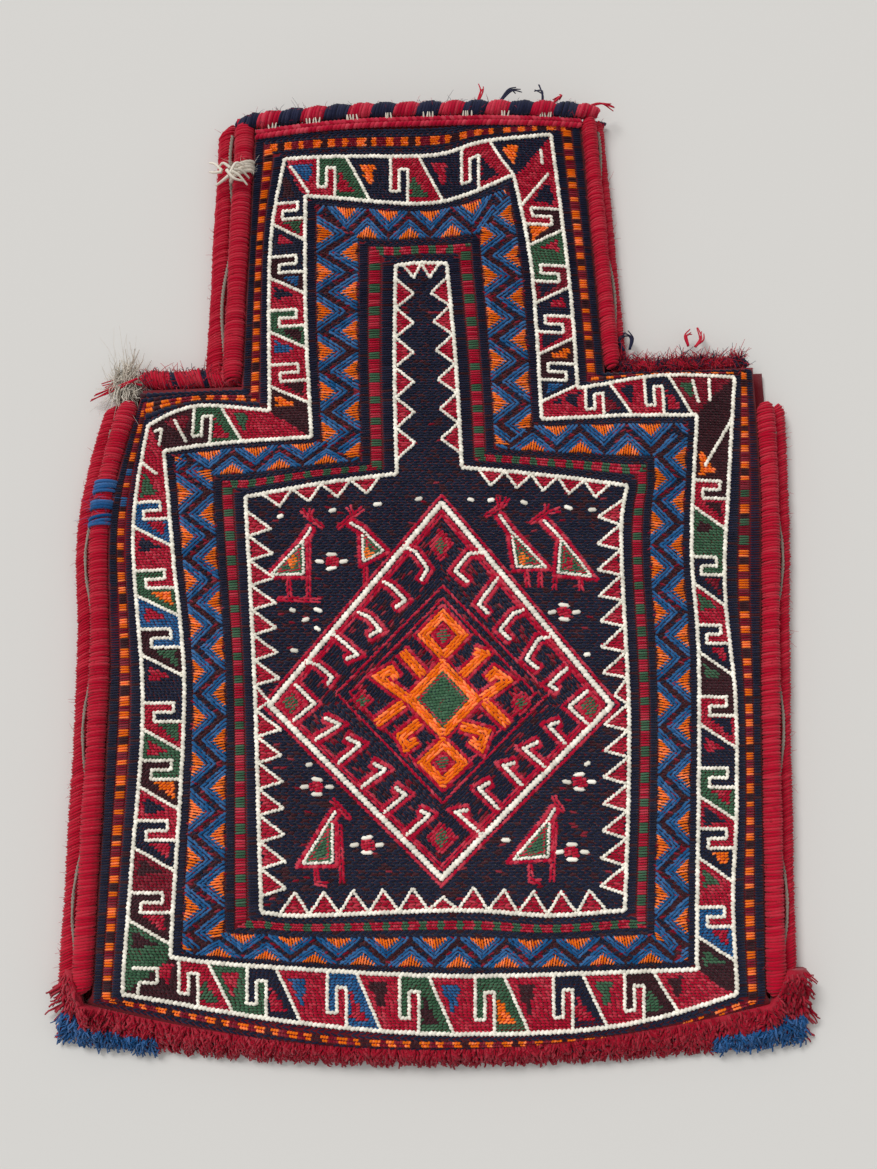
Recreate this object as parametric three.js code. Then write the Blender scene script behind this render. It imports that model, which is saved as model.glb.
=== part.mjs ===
// A flat-woven wool salt bag with a bottle outline, lying on its back with its mouth towards +Y.
// One strip of cloth is folded at the foot, its selvedges are wrapped into cords, and the cords of
// the front and the back are laced together at both sides. Millimetres, +Z up.
import * as THREE from 'three';
import { mergeVertices } from 'three/addons/utils/BufferGeometryUtils.js';

// Cloth: thickness, and the height of the front panel's mid-surface at its edges and its middle.
const CLOTH_THICK = 3.6;
const FRONT_EDGE_Z = 11;
const FRONT_CROWN = 8;
const CROWN_REACH = 75;

// Outline of the front panel, seen from above. The sides are soft curves through a few points.
const LEFT_SIDE = [[-169, -228], [-168, -70], [-171, 20], [-157, 90]];
const RIGHT_SIDE = [[164, -228], [168, -90], [173, 30], [172, 103]];
const NECK_LEFT_X = -104;
const NECK_RIGHT_X = 92;
const MOUTH_LEFT = [-101, 241];
const MOUTH_RIGHT = [82, 248];
const FOOT_BOW = 22;

// Wrapped edge cords: radius, clearance to the cloth, and the slot that the lacing runs in.
const CORD_RADIUS = { leftNeck: 4.8, leftSide: 4.5, rightNeck: 3.6, rightSide: 4.2 };
const BACK_OUTSET = { leftNeck: 10, leftSide: 8.6, rightNeck: 5.2, rightSide: 7.4 };
const CORD_GAP = 0.6;
const CORD_SIDES = 8;
const CORD_STEPS = 10;
const EDGE_STEP = 0.01;
const LACING_SLOT = 2.1;
const LACING_RADIUS = 0.6;
const LACING_STITCH = 44;
const LACING_SIDES = 4;
const LACING_STEPS_PER_STITCH = 3;
const LACING_DIP = -0.05;
const LACING_RISE = 0.5;
const SIDE_CORD_FOOT = 4;
const SIDE_CORD_TOP = { leftSide: 12, rightSide: 3 };
const NECK_CORD_FOOT = 14;

// Mouth rolls and shoulder bindings.
const SEAT_GAP = 0.4;
const FRONT_ROLL_RADIUS = 4.6;
const BACK_ROLL_RADIUS = 2.4;
const ROLL_PITCH = 25;
const ROLL_FLUTE = 0.1;
const ROLL_OVERHANG = 10;
const ROLL_SIDES = 8;
const FRONT_ROLL_STEPS = 24;
const BACK_ROLL_STEPS = 12;
const BINDING_RADIUS = 5.6;
const BINDING_LUMP = 0.07;
const BINDING_LUMP_COUNT = 23;
const BINDING_LIFT = 1.15;
const BINDING_LEFT = [-156, -113];
const BINDING_RIGHT = [99, 171];
const BINDING_SIDES = 8;
const BINDING_STEPS = 10;

// Foot pile: its height, rounded edge and outline, and the blue tufts along its rim.
const PILE_HEIGHT = 11;
const PILE_EDGE = 2.5;
const PILE_TOP_Y = -218.2;
const PILE_LEFT_X = -187;
const PILE_RIGHT_X = 188;
const PILE_CORNER_Y = -245;
const PILE_BOW = 12;
const PILE_STEPS = 18;
const PILE_FOOT_OUTSET = 0.6;
const BLUE_PILE_RADIUS = 3.4;
const BLUE_LEFT = [-184, -162, -140];
const BLUE_RIGHT = [137, 160, 184];
const BLUE_TUFT = 0.08;
const BLUE_TUFT_COUNT = 40;
const BLUE_SIDES = 8;
const BLUE_STEPS = 8;

// Mends and loose wool: yarn wound over a front cord, and a tuft in the left shoulder corner.
const MEND_THICK = 1.5;
const MEND_GAP = 0.7;
const MEND_ARC = [Math.PI * 0.2, Math.PI * 0.8];
const NECK_TIE_UP = 0.83;
const NECK_TIE_LENGTH = 12;
const MEND_UP = 0.8;
const MEND_LENGTH = 24;
const MEND_STEPS = 8;
const TUFT_CENTRE = [-167, 97, 10.9];
const TUFT_RADII = [8, 11, 6.5];
const TUFT_LUMP = 0.12;
const TUFT_SIDES = 10;
const TUFT_RINGS = 7;

// Outline yarns: raised ivory lines over the ground, which they clear by a small gap. Each spot rests
// on the highest cloth within a short reach of it.
const OUTLINE_WIDTH = 2.7;
const OUTLINE_HEIGHT = 1.3;
const OUTLINE_GAP = 1;
const OUTLINE_STEP = 14;
const OUTLINE_REACH = 10;
const OUTLINE_PROBES = 6;
const FRAME_SAMPLES = 56;

// Three frames that follow the bottle outline, clockwise. Each run starts at a corner and may have
// points on its way to the next corner.
const RUNS = [
  'mouth', 'rightNeck', 'rightShoulder', 'rightSide',
  'foot', 'leftSide', 'leftShoulder', 'leftNeck',
];
const UPRIGHT_RUNS = ['rightNeck', 'rightSide', 'leftSide', 'leftNeck'];
const OUTER_FRAME = {
  mouth: [[-83.2, 222.4], [-5, 222.4], [26, 231]],
  rightNeck: [[64.7, 237.5], [73.6, 149]],
  rightShoulder: [[76.7, 90], [121, 98]],
  rightSide: [[161.2, 97], [155, 32], [151, -19], [154, -77], [152.4, -130], [148.4, -176]],
  foot: [[148.8, -221], [107, -233], [61, -239], [-7, -239.5], [-75, -233.5]],
  leftSide: [[-153.2, -221], [-151, -157], [-149, -77], [-158.5, 12]],
  leftShoulder: [[-153, 70], [-126.5, 80.5]],
  leftNeck: [[-88, 77.3], [-90, 169]],
};
const INNER_FRAME = {
  mouth: [[-71, 199.3], [-1.6, 194.5]],
  rightNeck: [[43.6, 211.7], [52.8, 156.5]],
  rightShoulder: [[57, 71.7], [98, 74.2]],
  rightSide: [[139.5, 74.4], [134.2, 2], [135.4, -60], [129.6, -189]],
  foot: [[129.7, -209], [12.5, -212], [-93, -207]],
  leftSide: [[-129.5, -203], [-127.3, -77], [-135.6, -5]],
  leftShoulder: [[-143.7, 55.2], [-104, 59.6]],
  leftNeck: [[-65, 61.7], [-69.5, 130]],
};
const FIELD_FRAME = {
  mouth: [[-21, 158], [-7, 159.4]],
  rightNeck: [[6.6, 159], [11.4, 102]],
  rightShoulder: [[14.4, 44.8], [57, 40.6]],
  rightSide: [[100.9, 35], [97, 6], [98.5, -87]],
  foot: [[94, -180.5], [56.4, -183], [12.6, -180.5], [-62, -183]],
  leftSide: [[-85, -181.5], [-90.6, -81]],
  leftShoulder: [[-98.8, 29], [-60, 36.2]],
  leftNeck: [[-19.8, 41.5], [-21.3, 100]],
};

// Hook band: where the hooks start along each run, from its top or its left end, and a hook's form.
// Between two hooks runs a diagonal, given as shares of the hooks' pitch.
const HOOK_STARTS = {
  mouth: [13, 53, 92],
  rightNeck: [32, 65, 94],
  rightShoulder: [14, 46],
  rightSide: [47, 88, 124, 161, 197, 227, 265],
  foot: [16, 49.5, 89, 124.5, 161.5, 200, 235],
  leftSide: [35, 72, 103, 141, 170, 200, 235],
  leftShoulder: [20],
  leftNeck: [15, 46, 77],
};
const HOOK_PITCH = {
  mouth: 40, rightNeck: 31, rightShoulder: 34, rightSide: 36,
  foot: 37, leftSide: 34, leftShoulder: 37, leftNeck: 31,
};
const HOOK_TALL = 9.4;
const HOOK_NEAR = 0.28;
const HOOK_FAR = 0.75;
const DIAGONAL_LEAD = 0.38;
const DIAGONAL_RISE = 0.34;

// Teeth along the field's frame: pitch, depth, and the tip's place along a tooth.
const TEETH = {
  mouth: [10, 8.5, 0.5],
  rightNeck: [16.6, 10, 0.5],
  rightShoulder: [14.4, 8.5, 0.5],
  rightSide: [13.4, 12.4, 0.78],
  foot: [14.6, 11, 0.5],
  leftSide: [13.4, 12.4, 0.78],
  leftShoulder: [14.4, 8.5, 0.5],
  leftNeck: [16.6, 10, 0.5],
};
const TOOTH_MARGIN = {
  mouth: 4, rightNeck: 8, rightShoulder: 9, rightSide: 8,
  foot: 9, leftSide: 8, leftShoulder: 9, leftNeck: 8,
};
const TOOTH_LINE = 2;
const TOOTH_CLEARANCE = 10;

// Medallion: the tips of its diamond, clockwise from the top, and the hooks inside its four edges.
const MEDALLION_TIPS = [[3.8, 25.7], [90, -79.6], [3.7, -165.1], [-83.5, -79.6]];
const MEDALLION_LINE = 3.4;
const MEDALLION_BOW = 0.8;
const MEDALLION_HOOKS = [0.22, 0.375, 0.53, 0.65, 0.78];
const MEDALLION_STEM = 10.5;
const MEDALLION_HOOK_END = 5.6;

// Sampling of the cloth: columns beside and across the neck, and rows along the strip.
const SHOULDER_COLUMNS = 3;
const NECK_COLUMNS = 8;
const NECK_ROWS = 6;
const BODY_ROWS = 12;
const FOLD_ROWS = 5;
const WELD_DISTANCE = 1e-4;

const RED = 0xa81932;
const NAVY = 0x1c2036;
const BLUE = 0x2a5a8c;
const WOOL_WHITE = 0xd9d2c2;
const IVORY = 0xf3ecdc;
const GREY_THREAD = 0x837a70;

const wool = (colour) => new THREE.MeshStandardMaterial({ color: colour, roughness: 0.95, metalness: 0 });
const lerp = THREE.MathUtils.lerp;
const curve2d = (points) => new THREE.SplineCurve(points.map(([x, y]) => new THREE.Vector2(x, y)));

const bag = new THREE.Group();

function addPiece(name, geometry, colour) {
  const mesh = new THREE.Mesh(geometry, wool(colour));
  mesh.name = name;
  bag.add(mesh);
  return mesh;
}

// Front outline

const leftSide = curve2d(LEFT_SIDE);
const rightSide = curve2d(RIGHT_SIDE);
const leftShoulder = leftSide.getPointAt(1);
const rightShoulder = rightSide.getPointAt(1);
const shoulderY = (x) => lerp(
  leftShoulder.y,
  rightShoulder.y,
  (x - leftShoulder.x) / (rightShoulder.x - leftShoulder.x),
);
const neckLeft = new THREE.Vector2(NECK_LEFT_X, shoulderY(NECK_LEFT_X));
const neckRight = new THREE.Vector2(NECK_RIGHT_X, shoulderY(NECK_RIGHT_X));
const mouthLeft = new THREE.Vector2(...MOUTH_LEFT);
const mouthRight = new THREE.Vector2(...MOUTH_RIGHT);
const foldRadius = FRONT_EDGE_Z / 2 - CLOTH_THICK / 4;
const foldCentreZ = foldRadius + CLOTH_THICK / 2;

// A point of the body: across runs 0 to 1 from the left side, up runs 0 to 1 from the start of the
// foot fold to the shoulder.
function bodyPoint(across, up, outset = 0) {
  const left = leftSide.getPointAt(up);
  const right = rightSide.getPointAt(up);
  left.x -= BACK_OUTSET.leftSide * outset;
  right.x += BACK_OUTSET.rightSide * outset;
  const point = left.lerp(right, across);
  const fromMiddle = 2 * across - 1;
  point.y -= FOOT_BOW * (1 - fromMiddle * fromMiddle) * (1 - up) * (1 - up);
  point.y += foldCentreZ * (1 - up);
  return point;
}

// A point of the neck: up runs 0 to 1 from the shoulder line to the mouth.
function neckPoint(across, up, outset = 0) {
  const left = neckLeft.clone().lerp(mouthLeft, up);
  const right = neckRight.clone().lerp(mouthRight, up);
  left.x -= BACK_OUTSET.leftNeck * outset;
  right.x += BACK_OUTSET.rightNeck * outset;
  return left.lerp(right, across);
}

function distanceToSegment(point, start, end) {
  const along = end.clone().sub(start);
  const t = THREE.MathUtils.clamp(point.clone().sub(start).dot(along) / along.lengthSq(), 0, 1);
  return point.distanceTo(start.clone().addScaledVector(along, t));
}

// The edges that hold the front panel down; the mouth is left free to gape.
const heldEdges = [
  [mouthLeft, neckLeft],
  [neckLeft, leftShoulder],
  [leftShoulder, leftSide.getPointAt(0.5)],
  [leftSide.getPointAt(0.5), leftSide.getPointAt(0)],
  [leftSide.getPointAt(0), bodyPoint(0.5, 0)],
  [bodyPoint(0.5, 0), rightSide.getPointAt(0)],
  [rightSide.getPointAt(0), rightSide.getPointAt(0.5)],
  [rightSide.getPointAt(0.5), rightShoulder],
  [rightShoulder, neckRight],
  [neckRight, mouthRight],
];

// The front panel swells from its held edges to a level crown.
function frontZ(point) {
  const distances = heldEdges.map(([start, end]) => distanceToSegment(point, start, end));
  const swell = Math.min(Math.min(...distances) / CROWN_REACH, 1);
  return FRONT_EDGE_Z + FRONT_CROWN * swell * (2 - swell);
}

// Woven cloth: one strip from the front mouth, round the foot fold, to the back mouth

function stripRows() {
  const rows = [];
  for (let i = NECK_ROWS; i > 0; i -= 1) rows.push({ neck: true, up: i / NECK_ROWS, turn: 0 });
  for (let i = BODY_ROWS; i > 0; i -= 1) rows.push({ neck: false, up: i / BODY_ROWS, turn: 0 });
  for (let i = 0; i <= FOLD_ROWS; i += 1) rows.push({ neck: false, up: 0, turn: i / FOLD_ROWS });
  for (let i = 1; i <= BODY_ROWS; i += 1) rows.push({ neck: false, up: i / BODY_ROWS, turn: 1 });
  for (let i = 1; i <= NECK_ROWS; i += 1) rows.push({ neck: true, up: i / NECK_ROWS, turn: 1 });
  return rows;
}

function wovenCloth() {
  const columns = 2 * SHOULDER_COLUMNS + NECK_COLUMNS;
  const firstNeck = SHOULDER_COLUMNS;
  const lastNeck = SHOULDER_COLUMNS + NECK_COLUMNS;
  const width = rightShoulder.x - leftShoulder.x;
  const neckStart = (NECK_LEFT_X - leftShoulder.x) / width;
  const neckEnd = (NECK_RIGHT_X - leftShoulder.x) / width;
  const bodyAcross = (column) => {
    if (column <= firstNeck) return neckStart * column / SHOULDER_COLUMNS;
    if (column >= lastNeck) return lerp(neckEnd, 1, (column - lastNeck) / SHOULDER_COLUMNS);
    return lerp(neckStart, neckEnd, (column - firstNeck) / NECK_COLUMNS);
  };
  const positions = [];
  const indices = [];
  const rows = stripRows();
  const vertexIndex = rows.map((row) => {
    const line = new Array(columns + 1).fill(-1);
    const first = row.neck ? firstNeck : 0;
    const last = row.neck ? lastNeck : columns;
    for (let column = first; column <= last; column += 1) {
      const point = row.neck
        ? neckPoint((column - firstNeck) / NECK_COLUMNS, row.up, row.turn)
        : bodyPoint(bodyAcross(column), row.up, row.turn);
      const angle = Math.PI * row.turn;
      const isFront = row.turn === 0;
      const middle = new THREE.Vector3(
        point.x,
        point.y - foldRadius * Math.sin(angle),
        isFront ? frontZ(point) : foldCentreZ + foldRadius * Math.cos(angle),
      );
      const normal = new THREE.Vector3(0, -Math.sin(angle), Math.cos(angle));
      line[column] = positions.length / 3;
      positions.push(...middle.clone().addScaledVector(normal, CLOTH_THICK / 2));
      positions.push(...middle.addScaledVector(normal, -CLOTH_THICK / 2));
    }
    return line;
  });
  const isCell = (row, column) => row >= 0 && row < rows.length - 1 && column >= 0 && column < columns
    && [vertexIndex[row][column], vertexIndex[row][column + 1],
      vertexIndex[row + 1][column], vertexIndex[row + 1][column + 1]].every((index) => index >= 0);
  const wall = (from, to) => indices.push(to, from, from + 1, to, from + 1, to + 1);
  for (let row = 0; row < rows.length - 1; row += 1) {
    for (let column = 0; column < columns; column += 1) {
      if (!isCell(row, column)) continue;
      const a = vertexIndex[row][column];
      const b = vertexIndex[row][column + 1];
      const c = vertexIndex[row + 1][column + 1];
      const d = vertexIndex[row + 1][column];
      indices.push(a, d, c, a, c, b);
      indices.push(a + 1, c + 1, d + 1, a + 1, b + 1, c + 1);
      if (!isCell(row, column - 1)) wall(a, d);
      if (!isCell(row + 1, column)) wall(d, c);
      if (!isCell(row, column + 1)) wall(c, b);
      if (!isCell(row - 1, column)) wall(b, a);
    }
  }
  const geometry = new THREE.BufferGeometry();
  geometry.setAttribute('position', new THREE.Float32BufferAttribute(positions, 3));
  geometry.setIndex(indices);
  return geometry;
}

const cloth = addPiece('woven_cloth', wovenCloth(), NAVY);

// Outline yarns: thick ivory wool worked over the ground, each network of lines one raised piece

const plane = ([x, y]) => new THREE.Vector2(x, y);
const nextRun = (run) => RUNS[(RUNS.indexOf(run) + 1) % RUNS.length];

function frameRun(frame, run) {
  return new THREE.SplineCurve([...frame[run], frame[nextRun(run)][0]].map(plane));
}

// A whole frame as a closed outline, and the places of its corners in it.
function frameOutline(frame) {
  const points = [];
  const corners = {};
  for (const run of RUNS) {
    const curve = frameRun(frame, run);
    corners[run] = points.length;
    points.push(...curve.getSpacedPoints(Math.ceil(curve.getLength() / OUTLINE_STEP)).slice(0, -1));
  }
  return { points, corners };
}

// A line moved sideways, to the left of its direction; corners stay sharp.
function offsetLine(points, distance, isClosed) {
  return points.map((point, i) => {
    const last = points.length - 1;
    const before = points[i > 0 ? i - 1 : isClosed ? last : 0];
    const after = points[i < last ? i + 1 : isClosed ? 0 : last];
    const into = point.clone().sub(before).normalize();
    const out = after.clone().sub(point).normalize();
    if (before === point) into.copy(out);
    if (after === point) out.copy(into);
    const normal = new THREE.Vector2(-into.y - out.y, into.x + out.x).normalize();
    const stretch = normal.dot(new THREE.Vector2(-into.y, into.x));
    return point.clone().addScaledVector(normal, distance / stretch);
  });
}

// Where a run of a frame is: x at a height y on an upright run, y at a place x on a level one.
function frameAt(frame, run, place) {
  const isUpright = UPRIGHT_RUNS.includes(run);
  const points = frameRun(frame, run).getSpacedPoints(FRAME_SAMPLES);
  const by = isUpright ? 'y' : 'x';
  const value = isUpright ? 'x' : 'y';
  points.sort((a, b) => a[by] - b[by]);
  const next = points.findIndex((point) => point[by] >= place);
  if (next === 0) return points[0][value];
  if (next < 0) return points[points.length - 1][value];
  const [low, high] = [points[next - 1], points[next]];
  return lerp(low[value], high[value], (place - low[by]) / (high[by] - low[by]));
}

// The top of an upright run or the left end of a level one, midway between its two frames.
function runStart(run) {
  const ends = [OUTER_FRAME, INNER_FRAME].map((frame) => {
    const [start, end] = [frame[run][0], frame[nextRun(run)][0]];
    return UPRIGHT_RUNS.includes(run) ? Math.max(start[1], end[1]) : Math.min(start[0], end[0]);
  });
  return (ends[0] + ends[1]) / 2;
}

// A point of the hook band, from its place along a run and its share from the left or the top side.
function bandPoint(run, along, share) {
  const isUpright = UPRIGHT_RUNS.includes(run);
  const place = isUpright ? runStart(run) - along : runStart(run) + along;
  const fromOuter = ['rightSide', 'foot'].includes(run) ? 1 - share : share;
  const value = lerp(frameAt(OUTER_FRAME, run, place), frameAt(INNER_FRAME, run, place), fromOuter);
  return isUpright ? new THREE.Vector2(value, place) : new THREE.Vector2(place, value);
}

// Both edges of each hook and diagonal of a run, in order round the bag, from the outer frame inward.
function bandLines(run) {
  const first = HOOK_STARTS[run][0];
  const middle = bandPoint(run, first, 0).distanceTo(bandPoint(run, first, 1));
  const rim = OUTLINE_WIDTH / 2 / middle;
  const half = OUTLINE_WIDTH / 2;
  const lead = DIAGONAL_LEAD * HOOK_PITCH[run];
  const rise = DIAGONAL_RISE * HOOK_PITCH[run];
  const lean = half * Math.hypot(1, rise / middle);
  const lines = [];
  const isClockwise = !['foot', 'leftSide', 'leftNeck'].includes(run);
  const isInward = !['rightSide', 'foot'].includes(run);
  const addLine = (start, edges) => {
    const [before, after] = edges.map((edge) => {
      const points = edge.map((spot) => bandPoint(run, start + spot.x, spot.y / middle));
      return isInward ? points : points.reverse();
    });
    lines.push(isClockwise ? { before, after } : { before: after, after: before });
  };
  for (const start of HOOK_STARTS[run]) {
    const hook = [
      [0, rim], [0, HOOK_FAR], [0.5, HOOK_FAR], [0.5, HOOK_NEAR], [1, HOOK_NEAR], [1, 1 - rim],
    ].map(([down, share]) => new THREE.Vector2(down * HOOK_TALL, share * middle));
    addLine(start, [offsetLine(hook, half, false), offsetLine(hook, -half, false)]);
    const diagonal = [rim, 1 - rim].map((share) => new THREE.Vector2(lead + rise * share, share * middle));
    const shifted = (by) => diagonal.map((spot) => new THREE.Vector2(spot.x + by, spot.y));
    addLine(start, [shifted(-lean), shifted(lean)]);
  }
  return isClockwise ? lines : lines.reverse();
}

// The height of the cloth's upper face at a place, or nothing beside the cloth.
const downward = new THREE.Raycaster();
cloth.updateMatrixWorld();
function clothTop(x, y) {
  downward.set(new THREE.Vector3(x, y, 2 * (FRONT_EDGE_Z + FRONT_CROWN)), new THREE.Vector3(0, 0, -1));
  const hits = downward.intersectObject(cloth);
  return hits.length > 0 ? hits[0].point.z : 0;
}

function highestAround(x, y) {
  const heights = [clothTop(x, y)];
  for (let k = 0; k < OUTLINE_PROBES; k += 1) {
    const angle = 2 * Math.PI * k / OUTLINE_PROBES;
    heights.push(clothTop(x + OUTLINE_REACH * Math.cos(angle), y + OUTLINE_REACH * Math.sin(angle)));
  }
  return Math.max(...heights);
}

// A flat clockwise outline with openings, raised to a plate that lies over the cloth. It is turned
// round first, as only then may an opening be either way round.
function raisedYarn(outline, openings) {
  const shape = new THREE.Shape(outline.slice().reverse());
  shape.holes = openings.map((opening) => new THREE.Path(opening));
  const geometry = new THREE.ExtrudeGeometry(shape, { depth: OUTLINE_HEIGHT, bevelEnabled: false });
  geometry.deleteAttribute('normal');
  geometry.deleteAttribute('uv');
  const welded = mergeVertices(geometry, WELD_DISTANCE);
  const position = welded.getAttribute('position');
  for (let i = 0; i < position.count; i += 1) {
    const rest = highestAround(position.getX(i), position.getY(i)) + OUTLINE_GAP;
    position.setZ(i, rest + position.getZ(i));
  }
  return welded;
}

// Border: the outer two frames with the hooks and diagonals between them; the openings are its cells.
function borderOutline() {
  const half = OUTLINE_WIDTH / 2;
  const outer = frameOutline(OUTER_FRAME);
  const inner = frameOutline(INNER_FRAME);
  const outerRim = offsetLine(outer.points, -half, true);
  const innerRim = offsetLine(inner.points, half, true);
  const openings = [offsetLine(inner.points, -half, true)];
  const lines = RUNS.flatMap((run) => bandLines(run).map((line) => ({ run, ...line })));
  lines.forEach((line, i) => {
    const next = lines[(i + 1) % lines.length];
    const isCorner = line.run !== next.run;
    const cell = [...line.after];
    if (isCorner) cell.push(innerRim[inner.corners[next.run]]);
    cell.push(...next.before.slice().reverse());
    if (isCorner) cell.push(outerRim[outer.corners[next.run]]);
    openings.push(cell);
  });
  return raisedYarn(offsetLine(outer.points, half, true), openings);
}

addPiece('border_outline_yarn', borderOutline(), IVORY);

// Field: its frame, and a row of teeth with an ivory edge all round inside it
function fieldOutline() {
  const half = OUTLINE_WIDTH / 2;
  const frame = frameOutline(FIELD_FRAME);
  const inset = offsetLine(frame.points, -half, true);
  const openings = [];
  const zigzag = [];
  for (const run of RUNS) {
    const [pitch, depth, tip] = TEETH[run];
    const curve = frameRun(FIELD_FRAME, run);
    const length = curve.getLength();
    const count = Math.round((length - 2 * TOOTH_MARGIN[run]) / pitch);
    const step = (length - 2 * TOOTH_MARGIN[run]) / count;
    const isReversed = ['leftSide', 'leftNeck', 'foot'].includes(run);
    const spot = (along, into) => {
      const share = (TOOTH_MARGIN[run] + along) / length;
      const tangent = curve.getTangentAt(share);
      return curve.getPointAt(share).add(new THREE.Vector2(tangent.y, -tangent.x).multiplyScalar(into));
    };
    zigzag.push(inset[frame.corners[run]]);
    for (let k = 0; k < count; k += 1) {
      const peak = isReversed ? 1 - tip : tip;
      const base = half - TOOTH_LINE / 2;
      const tooth = [spot(k * step, base), spot((k + peak) * step, depth), spot((k + 1) * step, base)];
      if (k === 0) zigzag.push(tooth[0]);
      const isClear = (tip) => tooth[1].distanceTo(plane(tip)) > TOOTH_CLEARANCE;
      if (MEDALLION_TIPS.every(isClear)) {
        zigzag.push(tooth[1]);
        openings.push(offsetLine(tooth, TOOTH_LINE / 2, true));
      }
      zigzag.push(tooth[2]);
    }
  }
  openings.push(offsetLine(zigzag, -TOOTH_LINE / 2, true));
  return raisedYarn(offsetLine(frame.points, half, true), openings);
}

addPiece('field_outline_yarn', fieldOutline(), IVORY);

// Medallion: a diamond with a row of hooks inside each edge, turned towards its side tips
function medallionOutline() {
  const tips = MEDALLION_TIPS.map(plane);
  const half = OUTLINE_WIDTH / 2;
  const inset = offsetLine(tips, -MEDALLION_LINE / 2, true);
  const rim = [];
  const opening = [];
  tips.forEach((tip, i) => {
    const end = tips[(i + 1) % 4];
    const length = tip.distanceTo(end);
    const along = end.clone().sub(tip).normalize();
    const inward = new THREE.Vector2(along.y, -along.x);
    const steps = Math.round(length / OUTLINE_STEP);
    for (let k = 0; k < steps; k += 1) {
      const share = k / steps;
      const bow = 4 * MEDALLION_BOW * share * (1 - share);
      rim.push(tip.clone().lerp(end, share).addScaledVector(inward, -bow));
    }
    opening.push(inset[i]);
    const isToSide = i % 2 === 0;
    const places = isToSide ? MEDALLION_HOOKS : MEDALLION_HOOKS.map((place) => 1 - place).reverse();
    const way = isToSide ? 1 : -1;
    for (const place of places) {
      const hook = [
        [-half, MEDALLION_LINE / 2],
        [-half, MEDALLION_STEM + half],
        [MEDALLION_HOOK_END, MEDALLION_STEM + half],
        [MEDALLION_HOOK_END, MEDALLION_STEM - half],
        [half, MEDALLION_STEM - half],
        [half, MEDALLION_LINE / 2],
      ].map(([onward, into]) => tip.clone().addScaledVector(along, place * length + way * onward)
        .addScaledVector(inward, into));
      opening.push(...(isToSide ? hook : hook.reverse()));
    }
  });
  return raisedYarn(offsetLine(rim, MEDALLION_LINE / 2, true), [opening]);
}

addPiece('medallion_outline_yarn', medallionOutline(), IVORY);

// A closed round bar bent along a path; radiusAt gives the radius at a place along and an angle round.
function bar(points, radiusAt, sides, steps) {
  const path = new THREE.CatmullRomCurve3(points);
  const geometry = new THREE.CylinderGeometry(1, 1, 1, sides, steps);
  geometry.deleteAttribute('normal');
  geometry.deleteAttribute('uv');
  const welded = mergeVertices(geometry, WELD_DISTANCE);
  const position = welded.getAttribute('position');
  const upward = new THREE.Vector3(0, 0, 1);
  for (let i = 0; i < position.count; i += 1) {
    const along = THREE.MathUtils.clamp(position.getY(i) + 0.5, 0, 1);
    const angle = Math.atan2(position.getZ(i), position.getX(i));
    const reach = Math.hypot(position.getX(i), position.getZ(i));
    const tangent = path.getTangentAt(along);
    const sideways = tangent.clone().cross(upward).normalize();
    const lift = sideways.clone().cross(tangent).normalize();
    const radius = reach * radiusAt(along, angle);
    const place = path.getPointAt(along);
    place.addScaledVector(sideways, radius * Math.cos(angle));
    place.addScaledVector(lift, radius * Math.sin(angle));
    position.setXYZ(i, place.x, place.y, place.z);
  }
  return welded;
}

// Edge cords and lacing

// The four laced edges: where each runs, and which way is outward.
const lacedEdges = {
  leftNeck: { outward: -1, at: (up, outset) => neckPoint(0, up, outset) },
  rightNeck: { outward: 1, at: (up, outset) => neckPoint(1, up, outset) },
  leftSide: { outward: -1, at: (up, outset) => bodyPoint(0, up, outset) },
  rightSide: { outward: 1, at: (up, outset) => bodyPoint(1, up, outset) },
};

const edgeLength = (key) => lacedEdges[key].at(1, 0).distanceTo(lacedEdges[key].at(0, 0));

// The run of an edge that its cords cover, in the edge's own 0 to 1.
function cordRun(key) {
  const length = edgeLength(key);
  return key in SIDE_CORD_TOP
    ? { from: SIDE_CORD_FOOT / length, to: 1 - SIDE_CORD_TOP[key] / length }
    : { from: NECK_CORD_FOOT / length, to: 1 };
}

// Centre of the back cord, which lies on the ground, and of the front cord, up over it.
function cordCentre(key, up, isBack) {
  const radius = CORD_RADIUS[key];
  const { at, outward } = lacedEdges[key];
  const outset = isBack ? 1 : 0;
  const ahead = at(Math.min(up + EDGE_STEP, 1), outset);
  const along = ahead.sub(at(Math.max(up - EDGE_STEP, 0), outset)).normalize();
  const point = at(up, outset);
  point.x += outward * along.y * (radius + CORD_GAP);
  point.y -= outward * along.x * (radius + CORD_GAP);
  const rise = Math.sqrt((2 * radius + LACING_SLOT) ** 2 - BACK_OUTSET[key] ** 2);
  return new THREE.Vector3(point.x, point.y, isBack ? radius : radius + rise);
}

const EDGE_NAMES = {
  leftNeck: 'neck_left',
  rightNeck: 'neck_right',
  leftSide: 'side_left',
  rightSide: 'side_right',
};

function pathAlong(key, count, pointAt) {
  const run = cordRun(key);
  return Array.from({ length: count + 1 }, (_, i) => pointAt(lerp(run.from, run.to, i / count)));
}

// The lacing runs in the slot between the cords: a long float on top, then a dip out of sight.
function lacingPoint(key, up, length) {
  const front = cordCentre(key, up, false);
  const back = cordCentre(key, up, true);
  const across = front.clone().sub(back).normalize();
  const out = new THREE.Vector3(0, lacedEdges[key].outward, 0).cross(across).normalize();
  const radius = CORD_RADIUS[key];
  const floats = 0.5 - 0.5 * Math.cos(Math.PI * up * length / LACING_STITCH);
  return front.lerp(back, 0.5).addScaledVector(out, radius * lerp(LACING_DIP, LACING_RISE, floats));
}

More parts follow.
